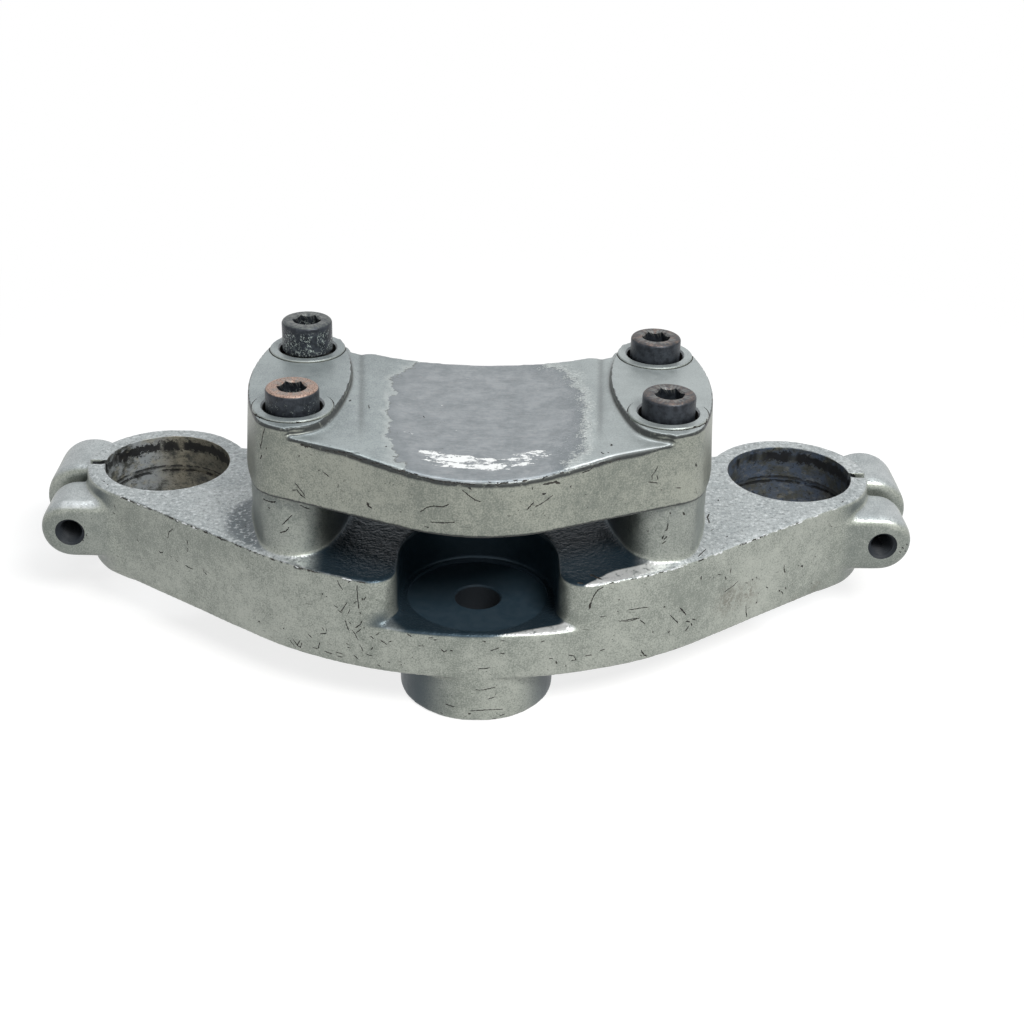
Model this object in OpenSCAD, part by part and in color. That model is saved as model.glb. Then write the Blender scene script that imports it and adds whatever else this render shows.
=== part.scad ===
// Motorcycle triple clamp: a cast top yoke with two split fork rings, and a
// one-piece handlebar clamp that four socket head screws hold on its risers.
// Origin on the steering stem axis, at the foot of the stem hub. +Z is up along
// the stem, +X runs to the right along the handlebar, and the hub side is -Y.

/* [Fork rings] */
// Distance between the two fork tube axes
fork_pitch = 208.6; // [196:0.2:222]
// Fork axes beyond the stem axis, along +Y
fork_offset = 57.5; // [54:0.5:61]
// Diameter of the fork tubes
fork_d = 41; // [36:0.5:43]
// Wall of a fork ring round its tube
ring_wall = 5.9; // [5:0.1:8]
// Height of a fork ring
ring_h = 31.5; // [28:0.5:36]
// Width of the pinch slot in each ring
slot_w = 3; // [2:0.5:4]

/* [Arms] */
// Height of the stem hub, foot to top face
hub_h = 46; // [44:0.5:52]
// Diameter of the stem hub
hub_d = 48; // [44:1:50]
// Height of the arms, hung from the top face
arm_h = 30.5; // [28:0.5:34]
// Radius of the round front of the arms, in plan
nose_r = 117; // [105:1:130]
// Line of the flat rear wall, beyond the stem axis
rear_y = 70; // [68:0.5:74]
// Radius of the inside corner from rear wall to ring
rear_fillet = 10; // [6:1:14]
// Thickness of the plate above the cored pockets
plate_t = 9; // [8:0.5:12]
// Wall round the cored pockets
core_wall = 7; // [5:0.5:9]

/* [Stem seat] */
// Half width of the open recess round the stem bolt
recess_r = 24.2; // [22:0.1:26]
// Rear round of the recess, its centre ahead of the stem axis
recess_shift = 2; // [0:0.5:4]
// Height of the recess floor above the hub's foot
floor_z = 31; // [29:0.5:33]
// Radius of the machined seat in the floor
seat_r = 21.7; // [18:0.1:22]
// Depth of the machined seat
seat_depth = 1; // [0.5:0.1:2]
// Radius of the round mouth of the recess at the front wall
mouth_r = 8; // [5:0.5:10]
// Diameter of the stem bolt hole
stem_bolt_d = 14; // [10:0.5:20]
// Diameter of the stem bore in the hub
stem_d = 28; // [24:1:32]
// Depth of the stem bore
stem_depth = 21; // [16:0.5:22]

/* [Pinch lugs] */
// Pinch bolt axis out from its fork axis
pinch_x = 29.4; // [28.5:0.1:31]
// Diameter of the pinch bolts
pinch_d = 8; // [6:1:8]
// Radius of the tapped lug
tapped_lug_r = 10; // [9:0.1:11]
// Length of the tapped lug from the fork axis
tapped_lug_len = 21; // [18:0.5:23]
// Radius of the lug that takes the bolt head
head_lug_r = 12.8; // [11:0.1:13.5]
// Length of the bolt head's lug from the fork axis
head_lug_len = 26; // [22:0.5:28]
// Length from the fork axis of the head lug's full-height web
head_web = 14; // [10:0.5:16]
// Radius in plan of the run from an arm's front wall to the tapped lug's face
lug_blend = 16; // [10:1:18]
// Bore for the bolt head
pinch_head_d = 14.5; // [13.5:0.5:16]
// Depth of the bore for the bolt head
pinch_head_depth = 9; // [6:0.5:12]

/* [Handlebar] */
// Diameter of the handlebar
bar_d = 25.4; // [22.2:0.1:28.6]
// Handlebar axis beyond the stem axis, along +Y
bar_y = 32.1; // [31:0.1:34]
// Height of the parting face, and bar axis, above the arms
riser_h = 20.2; // [19:0.1:26]

/* [Risers and clamp pads] */
// Distance between the left and right clamp screws
screw_pitch_x = 111.7; // [108:0.1:116]
// Distance between the front and rear clamp screws
screw_pitch_y = 45.4; // [44:0.1:48]
// Half length of a pad
pad_len = 37.8; // [37:0.1:39]
// Half width of a riser
riser_w = 15.9; // [15:0.1:17]
// Half width of a pad at its top
pad_w = 15.5; // [14.5:0.1:16.5]
// Radius of the ends of a pad and a riser
pad_end_r = 11; // [10:0.1:12]
// Round at the foot of the risers and the pads
cove_r = 1.6; // [1:0.1:1.8]

/* [Clamp saddle] */
// Height of the clamp, parting face to pad top
clamp_h = 22.9; // [22:0.1:26]
// Drop from the pads to the land beside them
land_drop = 2.6; // [2.5:0.1:4]
// Radius of the saddle's round front, in plan
saddle_nose_r = 49; // [44:1:56]
// Front point of the saddle, ahead of the stem axis
saddle_reach = 29; // [26:0.5:32]
// Rear edge of the saddle at the middle, beyond the stem axis
saddle_rear = 57; // [55:0.5:59]
// Radius of the hollow rear edge of the saddle, in plan
saddle_rear_r = 150; // [130:5:200]
// Half width of the dish in the saddle
dish_half = 38; // [34:0.5:39]
// Radius of the dish
dish_r = 270; // [240:5:320]
// Wall of the cored saddle
shell_t = 5; // [4:0.5:6]
// Roof of the cored saddle, under the lowest line of the dish
roof_t = 4; // [3:0.5:4.5]
// Width of the clamp at its top over its width at the parting face
taper = 0.981; // [0.975:0.001:0.99]

/* [Clamp screws] */
// Thread diameter of the clamp screws
screw_d = 10; // [8:1:10]
// Length of a clamp screw under its head
screw_len = 40; // [36:1:42]
// Diameter of a screw head
head_d = 16; // [13:0.5:16]
// Height of a screw head
head_h = 10; // [8:0.5:10]
// Width of the hexagon socket across its flats
hex_af = 8; // [6:0.5:8]
// Depth of the hexagon socket
hex_depth = 5; // [4:0.5:6]
// Diameter of the counterbore round a screw head
counterbore_d = 18; // [17.5:0.5:19]
// Depth of the counterbore below the pad
counterbore_depth = 3.6; // [2.5:0.1:4]
// Outer diameter of the raised rim round the counterbore
rim_d = 24; // [22:0.5:24]
// Height of the raised rim
rim_h = 0.5; // [0.3:0.1:0.8]
// How far the far left screw stands out of its seat
loose_lift = 3.5; // [0:0.5:6]

/* [Hidden] */
$fn = 96;

SILVER = "#a7aaa9";
BLACK_OXIDE = "#34363a";

// Overlap of a cut with the face it opens, and of two solids that join
over = 1;
// Step left where an arc runs on into a flat, so that the two cross cleanly
seam = 0.05;
// Entry chamfer of the bores
chamfer = 0.8;
// Radial room of a screw in its clearance hole, and of a thread in its tapped hole
screw_room = 0.5;
thread_room = 0.05;
// Round on the free edges of the pinch lugs
lug_round = 3;
// Wall round the tapped holes under the risers, and the rib that joins each pair
tap_wall = 4.5;
rib_w = 8;
// Room under the tip of a tightened screw
tap_room = 5;

fork_x = fork_pitch / 2;
ring_r = fork_d / 2 + ring_wall;
ring_z = hub_h - ring_h;
ring_mid_z = ring_z + ring_h / 2;
arm_z = hub_h - arm_h;
lug_x = fork_x + pinch_x;

// Groove turned in each fork bore
groove_w = 1.5;
groove_depth = 0.5;
groove_z = hub_h - 13;

part_z = hub_h + riser_h;
pad_z = part_z + clamp_h;
land_z = pad_z - land_drop;
dish_z = land_z - (dish_r - sqrt(dish_r * dish_r - dish_half * dish_half));
screw_x = screw_pitch_x / 2;
seat_z = pad_z - counterbore_depth;
tap_depth = screw_len - (seat_z - part_z) + tap_room;

// End circle of the saddle's outline at the parting face
foot_grow = (1 - taper) * (screw_x + pad_w);
foot_end_r = pad_end_r + foot_grow;
end_shift = pad_len - pad_end_r;

// Angle of the straight flank that touches a nose arc and an end circle
function flank_angle(arc_r, arc_y, end, end_r) =
    asin((arc_r - end_r) / norm([end.x, arc_y - end.y])) - atan((arc_y - end.y) / end.x);

// Radius of the long sides of an oval with half width w, its ends of radius r
// centred c from the middle
function side_radius(w, c, r) = (w * w + c * c - r * r) / (2 * (w - r));

// Both sides of the YZ plane
module both_sides() {
    children();
    mirror([1, 0, 0]) children();
}

// Round front of an outline, between its two flanks
module nose_cap(arc_r, front_y, end, end_r, inset) {
    arc_y = front_y + arc_r;
    half = (arc_r - inset - seam) * sin(flank_angle(arc_r, arc_y, end, end_r));
    back = arc_y - sqrt(pow(arc_r - inset, 2) - half * half);
    intersection() {
        translate([0, arc_y]) circle(arc_r - inset, $fn = 360);
        translate([-half, front_y - over]) square([2 * half, back - front_y + 2 * over]);
    }
}

// Straight flanks of an outline and its straight back
module flanks(arc_r, front_y, end, end_r, back_y, inset) {
    arc_y = front_y + arc_r;
    a = flank_angle(arc_r, arc_y, end, end_r);
    flank_in = [0, arc_y] + (arc_r - inset - seam) * [sin(a), -cos(a)];
    flank_out = end + (end_r - inset - seam) * [sin(a), -cos(a)];
    polygon([
        flank_in, flank_out, end, [end.x, back_y],
        [-end.x, back_y], [-end.x, end.y], [-flank_out.x, flank_out.y], [-flank_in.x, flank_in.y]
    ]);
}

// Outline with a round nose at -Y and straight flanks on to two end circles,
// closed by a straight back; inset moves every edge but the back inwards
module nose_plan(arc_r, front_y, end, end_r, back_y, inset = 0) {
    nose_cap(arc_r, front_y, end, end_r, inset);
    flanks(arc_r, front_y, end, end_r, back_y, inset);
    both_sides() translate(end) circle(end_r - inset);
}

// Oval of two end arcs and two long side arcs, along Y
module oval_plan(w, r) {
    side_r = side_radius(w, end_shift, r);
    joint_y = end_shift * (1 + r / (side_r - r));
    intersection() {
        translate([side_r - w, 0]) circle(side_r, $fn = 360);
        translate([w - side_r, 0]) circle(side_r, $fn = 360);
        square([2 * w, 2 * joint_y], center = true);
    }
    for (s = [-1, 1]) translate([0, s * end_shift]) circle(r);
}

// Profile of an inside round against a wall at radius r, run on below its foot
module cove_profile(r) {
    bow = cove_r * (1 - sqrt(0.5));
    root = 0.1;
    toe = cove_r + root * (cove_r - bow) / bow;
    polygon([[r - over, -root], [r + toe, -root], [r + bow, bow], [r, cove_r], [r - over, cove_r]]);
}

// Inside round along the foot of an oval post
module oval_cove(w, r) {
    side_r = side_radius(w, end_shift, r);
    spread = atan(end_shift / (side_r - w));
    for (s = [-1, 1]) {
        translate([0, s * end_shift, 0]) rotate_extrude() cove_profile(r);
        rotate([0, 0, s > 0 ? 0 : 180])
            translate([w - side_r, 0, 0])
                rotate([0, 0, -spread])
                    rotate_extrude(angle = 2 * spread, $fn = 360) cove_profile(side_r - seam);
    }
}

// Round lug along -Y from the slot to length, its end edges rounded; an angle
// of 180 leaves the half on the +X side
module lug_boss(r, length, angle) {
    from = slot_w / 2;
    rotate([90, 0, 0]) rotate([0, 0, -90]) rotate_extrude(angle = angle) {
        translate([0, from]) square([r - lug_round, length - from]);
        translate([0, from + lug_round]) square([r, length - from - 2 * lug_round]);
        for (end = [from + lug_round, length - lug_round]) translate([r - lug_round, end]) circle(lug_round);
    }
}

// Straight web of the same section, from a lug's axis in to the fork axis
module lug_web(r, length) {
    from = slot_w / 2;
    translate([-pinch_x, -length, lug_round - r]) cube([pinch_x, length - from, 2 * (r - lug_round)]);
    translate([-pinch_x, lug_round - length, -r]) cube([pinch_x, length - from - 2 * lug_round, 2 * r]);
    for (end = [-from - lug_round, lug_round - length], s = [-1, 1])
        translate([-pinch_x, end, s * (r - lug_round)]) rotate([0, 90, 0]) cylinder(r = lug_round, h = pinch_x);
}

// Hole along +Z from the origin, with a chamfered entry
module entry_hole(r, depth) {
    cylinder(r = r, h = depth);
    translate([0, 0, -over]) cylinder(r1 = r + chamfer + over, r2 = r, h = chamfer + over);
}

// The four screw places, or one side of them
module at_screw(side, row) {
    translate([side * screw_x, bar_y + row * screw_pitch_y / 2, 0]) children();
}

// Slab with the plan of the arms and rings, its back wall flat
module arm_slab(height, inset = 0) {
    end = [fork_x, fork_offset];
    linear_extrude(height) nose_cap(nose_r, -hub_d / 2, end, ring_r, inset);
    linear_extrude(height) flanks(nose_r, -hub_d / 2, end, ring_r, rear_y - inset, inset);
    both_sides() translate(end) cylinder(r = ring_r - inset, h = height);
}

// Inside round between the rear wall and a fork ring, on the +X side
module rear_corner() {
    corner_y = rear_y + rear_fillet;
    corner_x = fork_x - sqrt(pow(ring_r + rear_fillet, 2) - pow(corner_y - fork_offset, 2));
    corner = [corner_x, corner_y];
    touch = corner + ([fork_x, fork_offset] - corner) * rear_fillet / (ring_r + rear_fillet);
    difference() {
        linear_extrude(arm_h) polygon([
            [corner_x, rear_y - over], corner, touch, [fork_x, fork_offset], [fork_x, rear_y - 2 * over]
        ]);
        translate([corner_x, corner_y, -over]) cylinder(r = rear_fillet + seam, h = arm_h + 2 * over);
    }
}

// Run from an arm's front wall to the face of the tapped lug, on the +X side
module lug_run() {
    a = flank_angle(nose_r, nose_r - hub_d / 2, [fork_x, fork_offset], ring_r);
    half_h = tapped_lug_r - lug_round + over;
    round_x = (ring_r + lug_blend - (tapped_lug_len + lug_blend) * cos(a)) / sin(a);
    round_c = [round_x, -tapped_lug_len - lug_blend];
    difference() {
        translate([0, 0, -half_h]) linear_extrude(2 * half_h) polygon([
            [0, 0], round_c + lug_blend * [-sin(a), cos(a)], round_c, [round_x, over - tapped_lug_len]
        ]);
        translate([round_x, round_c.y, -half_h - over])
            cylinder(r = lug_blend + seam, h = 2 * (half_h + over), $fn = 180);
    }
}

// Two lugs beside a fork ring, for the pinch bolt, on the +X side
module pinch_lugs() {
    low_h = 2 * (head_lug_r - lug_round);
    low_len = head_lug_len - lug_round;
    translate([lug_x, fork_offset, ring_mid_z]) {
        lug_boss(tapped_lug_r, tapped_lug_len, 180);
        lug_web(tapped_lug_r, tapped_lug_len);
        mirror([0, 1, 0]) {
            lug_boss(head_lug_r, head_lug_len, 360);
            lug_web(head_lug_r - seam, head_web);
        }
        translate([0, 0, -low_h / 2]) linear_extrude(low_h) polygon([
            [-pinch_x, slot_w / 2 + over], [ring_r / 2 - pinch_x, low_len], [0, low_len], [0, slot_w / 2 + over]
        ]);
    }
    translate([fork_x, fork_offset, ring_mid_z]) lug_run();
}

// Holes of the two pinch lugs, on the +X side
module pinch_holes() {
    translate([lug_x, fork_offset - tapped_lug_len, ring_mid_z])
        rotate([-90, 0, 0]) entry_hole(pinch_d / 2, tapped_lug_len + over);
    translate([lug_x, fork_offset, ring_mid_z])
        rotate([-90, 0, 0]) cylinder(r = pinch_d / 2 + screw_room, h = head_lug_len);
    translate([lug_x, fork_offset + head_lug_len, ring_mid_z])
        rotate([90, 0, 0]) entry_hole(pinch_head_d / 2, pinch_head_depth);
}

// Fork bore with its groove, and the slot out through the lugs, on the +X side
module fork_bore() {
    translate([fork_x, fork_offset, ring_z]) {
        entry_hole(fork_d / 2, ring_h + over);
        translate([0, -slot_w / 2, -over]) cube([pinch_x + head_lug_r + over, slot_w, ring_h + 2 * over]);
    }
    translate([fork_x, fork_offset, groove_z]) cylinder(r = fork_d / 2 + groove_depth, h = groove_w);
}

// Open recess in the top face round the stem bolt, and its machined seat
module stem_recess() {
    mouth = [recess_r + mouth_r, -hub_d / 2 + nose_r - sqrt(pow(nose_r - mouth_r, 2) - pow(recess_r + mouth_r, 2))];
    nose_c = [0, nose_r - hub_d / 2];
    touch = nose_c + (mouth - nose_c) * nose_r / (nose_r - mouth_r);
    outside = -hub_d / 2 - 2 * over;
    translate([0, 0, floor_z]) linear_extrude(hub_h) {
        translate([0, -recess_shift]) circle(recess_r);
        translate([-recess_r, outside]) square([2 * recess_r, -outside - recess_shift]);
        both_sides() difference() {
            polygon([
                [recess_r - over, mouth.y], mouth, touch, [touch.x, outside], [recess_r - over, outside]
            ]);
            translate(mouth) circle(mouth_r + seam);
        }
    }
    translate([0, 0, floor_z - seat_depth]) cylinder(r = seat_r, h = hub_h);
}

// Pockets cored up into one arm from below, round ribs and screw bosses
module arm_cores() {
    hub_wall_x = hub_d / 2 + core_wall;
    depth = arm_h - plate_t + over;
    translate([0, 0, arm_z - over]) difference() {
        intersection() {
            arm_slab(depth, core_wall);
            translate([hub_wall_x, -hub_d / 2, 0]) cube([fork_x - hub_wall_x, rear_y + hub_d, depth]);
        }
        translate([fork_x, fork_offset, 0]) cylinder(r = ring_r + over, h = depth);
        translate([screw_x - rib_w / 2, -hub_d / 2, 0]) cube([rib_w, rear_y + hub_d, depth]);
        for (row = [-1, 1]) at_screw(1, row) cylinder(r = screw_d / 2 + tap_wall, h = depth);
    }
}

// Riser that carries the handlebar, its foot blended into the arm
module riser() {
    translate([screw_x, bar_y, hub_h - over]) linear_extrude(riser_h + over) oval_plan(riser_w, pad_end_r);
    translate([screw_x, bar_y, hub_h]) oval_cove(riser_w, pad_end_r);
}

module yoke_body() {
    translate([0, 0, arm_z]) arm_slab(arm_h);
    cylinder(d = hub_d, h = hub_h - over);
    both_sides() {
        translate([0, 0, arm_z]) rear_corner();
        translate([fork_x, fork_offset, ring_z]) cylinder(r = ring_r, h = ring_h);
        pinch_lugs();
        riser();
    }
}

module bar_bore() {
    reach = screw_x + pad_w + foot_grow + over;
    translate([-reach, bar_y, part_z]) rotate([0, 90, 0]) cylinder(d = bar_d, h = 2 * reach);
}

module yoke() {
    color(SILVER) difference() {
        yoke_body();
        stem_recess();
        cylinder(d = stem_bolt_d, h = hub_h);
        translate([0, 0, -over]) cylinder(d = stem_d, h = stem_depth + over);
        bar_bore();
        both_sides() {
            fork_bore();
            pinch_holes();
            arm_cores();
            for (row = [-1, 1]) at_screw(1, row)
                translate([0, 0, part_z - tap_depth])
                    cylinder(r = screw_d / 2 + thread_room, h = tap_depth + over);
        }
    }
}

// Outline of the handlebar clamp at the parting face
module clamp_plan(inset = 0) {
    difference() {
        union() {
            nose_plan(
                saddle_nose_r, -saddle_reach, [screw_x, bar_y - end_shift], foot_end_r,
                bar_y + end_shift, inset
            );
            if (inset == 0) both_sides()
                translate([screw_x, bar_y]) oval_plan(pad_w + foot_grow, foot_end_r);
        }
        translate([0, saddle_rear + saddle_rear_r - inset]) circle(saddle_rear_r, $fn = 360);
    }
}

// Tapered block of the handlebar clamp
module clamp_block() {
    translate([0, bar_y, part_z])
        linear_extrude(clamp_h, scale = taper) translate([0, -bar_y]) clamp_plan();
}

// What the pads keep of the block above the land
module pad_keep() {
    translate([screw_x, bar_y, land_z - over]) linear_extrude(land_drop + 2 * over) {
        oval_plan(pad_w, pad_end_r);
        translate([0, -pad_len - over]) square([pad_w + foot_grow + over, 2 * (pad_len + over)]);
    }
    translate([screw_x, bar_y, land_z]) oval_cove(pad_w, pad_end_r);
}

// Everything above the land between the pads, and the dish below it
module saddle_cut() {
    reach = saddle_reach + pad_end_r;
    depth = reach + bar_y + pad_len + 2 * over;
    difference() {
        translate([-screw_x - pad_w, -reach, land_z])
            cube([2 * (screw_x + pad_w), depth, land_drop + over]);
        both_sides() pad_keep();
    }
    intersection() {
        translate([0, -reach, dish_z + dish_r])
            rotate([-90, 0, 0]) cylinder(r = dish_r, h = depth, $fn = 720);
        translate([-dish_half - over, -reach, dish_z - over])
            cube([2 * (dish_half + over), depth, land_z - dish_z + over]);
    }
}

// Hollow cored into the underside of the saddle, between the pads
module saddle_core() {
    core_x = screw_x - pad_w - over;
    translate([0, 0, part_z - over]) linear_extrude(dish_z - roof_t - part_z + over) intersection() {
        clamp_plan(shell_t);
        translate([-core_x, -saddle_reach]) square([2 * core_x, saddle_reach + saddle_rear + shell_t]);
    }
}

// Raised rim round a screw head
module screw_rim() {
    translate([0, 0, pad_z - over]) cylinder(d = rim_d, h = rim_h + over);
}

// Clearance hole of a screw and the counterbore for its head
module screw_pocket() {
    translate([0, 0, part_z - over]) cylinder(r = screw_d / 2 + screw_room, h = clamp_h);
    translate([0, 0, seat_z]) cylinder(d = counterbore_d, h = clamp_h);
    translate([0, 0, pad_z + rim_h - chamfer])
        cylinder(r1 = counterbore_d / 2, r2 = counterbore_d / 2 + chamfer + over, h = chamfer + over);
}

module handlebar_clamp() {
    color(SILVER) difference() {
        union() {
            difference() {
                clamp_block();
                saddle_cut();
            }
            for (side = [-1, 1], row = [-1, 1]) at_screw(side, row) screw_rim();
        }
        saddle_core();
        bar_bore();
        for (side = [-1, 1], row = [-1, 1]) at_screw(side, row) screw_pocket();
    }
}

// Socket head screw, the underside of its head at the origin
module socket_screw() {
    edge = 1;
    color(BLACK_OXIDE) difference() {
        union() {
            cylinder(d = head_d, h = head_h - edge);
            translate([0, 0, head_h - edge]) cylinder(d1 = head_d, d2 = head_d - 2 * edge, h = edge);
            translate([0, 0, edge - screw_len]) cylinder(d = screw_d, h = screw_len - edge + over);
            translate([0, 0, -screw_len]) cylinder(d1 = screw_d - 2 * edge, d2 = screw_d, h = edge);
        }
        translate([0, 0, head_h - hex_depth]) cylinder(d = hex_af / cos(30), h = hex_depth + over, $fn = 6);
        translate([0, 0, head_h - hex_depth - edge]) cylinder(d1 = hex_af / 2, d2 = hex_af, h = edge);
    }
}

// One of the four screws in its place
module clamp_screw(side, row, lift = 0) {
    at_screw(side, row) translate([0, 0, seat_z + lift]) socket_screw();
}

yoke();
handlebar_clamp();
clamp_screw(-1, -1);  // clamp_screw_near_left
clamp_screw(1, -1);  // clamp_screw_near_right
clamp_screw(-1, 1, loose_lift);  // clamp_screw_far_left
clamp_screw(1, 1);  // clamp_screw_far_right
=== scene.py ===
"""Motorcycle triple clamp: castings, machined faces, screws, wear and stage,
built round the CAD frame."""
import math
import random

import bmesh
import bpy
import numpy as np
from mathutils import Matrix, Vector, noise
from mathutils.bvhtree import BVHTree


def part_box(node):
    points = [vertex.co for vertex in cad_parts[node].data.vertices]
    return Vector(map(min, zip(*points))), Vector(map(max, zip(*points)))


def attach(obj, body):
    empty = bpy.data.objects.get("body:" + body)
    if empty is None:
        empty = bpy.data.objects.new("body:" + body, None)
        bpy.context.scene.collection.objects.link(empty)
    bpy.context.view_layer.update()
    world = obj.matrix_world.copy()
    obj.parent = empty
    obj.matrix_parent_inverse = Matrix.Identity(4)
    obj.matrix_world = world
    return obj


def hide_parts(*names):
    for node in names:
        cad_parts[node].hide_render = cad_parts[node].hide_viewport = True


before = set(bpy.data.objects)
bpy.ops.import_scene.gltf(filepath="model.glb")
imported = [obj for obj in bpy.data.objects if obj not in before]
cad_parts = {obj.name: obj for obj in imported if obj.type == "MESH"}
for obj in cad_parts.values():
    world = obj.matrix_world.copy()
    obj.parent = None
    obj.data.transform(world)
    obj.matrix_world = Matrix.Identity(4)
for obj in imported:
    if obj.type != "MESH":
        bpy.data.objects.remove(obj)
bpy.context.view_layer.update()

MM = 0.001
BODY = "root"

# Sizes of the CAD model that the machined surfaces are cut to again, in mm
FORK_X, FORK_Y, FORK_R = 104.3, 57.5, 20.5
RING_LOW, TOP, RING_R = 14.5, 46.0, 26.4
GROOVE_LOW, GROOVE_W, GROOVE_DEPTH = 33.0, 1.5, 0.5
SLOT_W, CHAMFER = 3.0, 0.8
LUG_X, LUG_Z = 133.7, 30.25
LUG_FRONT, LUG_REAR = 36.5, 83.5
THREAD_R, CLEAR_R, HEAD_BORE_R, HEAD_BORE_DEPTH = 4.0, 4.5, 7.25, 9.0
STEM_R, STEM_DEPTH, BOLT_R = 14.0, 21.0, 7.0
SEAT_R, SEAT_Z, FLOOR_Z = 21.7, 30.0, 31.0
BAR_R, BAR_Y, PART_Z = 12.7, 32.1, 66.2
PAD_Z, COUNTER_R, COUNTER_Z = 89.1, 9.0, 85.5
RIM_R, RIM_H = 12.0, 0.5
SCREW_X, SCREW_DY, SCREW_HOLE_R = 55.85, 22.7, 5.5
HEAD_R, HEAD_H, HEX_AF, HEX_DEPTH = 8.0, 10.0, 8.0, 5.0
SCREW_R, SCREW_LEN, SCREW_PITCH = 5.0, 40.0, 1.5
PINCH_PITCH = 1.25

SCREWS = {
    "clamp_screw_near_left": (-1, -1),
    "clamp_screw_near_right": (1, -1),
    "clamp_screw_far_left": (-1, 1),
    "clamp_screw_far_right": (1, 1),
}

# Material slots of the two castings
PAINT, MACHINED, CHIP, NICK, BORE = range(5)

# Camera that was worked out from the photograph: focal length and optical centre in
# pixels, angles in radians, place in metres
FOCAL, CENTRE_V, FRAME_PX = 1632.222, 523.726, 1024
YAW, PITCH, ROLL = 0.025, 0.492, -0.029
EYE = (-0.000878, -0.434445, 0.288774)

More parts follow.
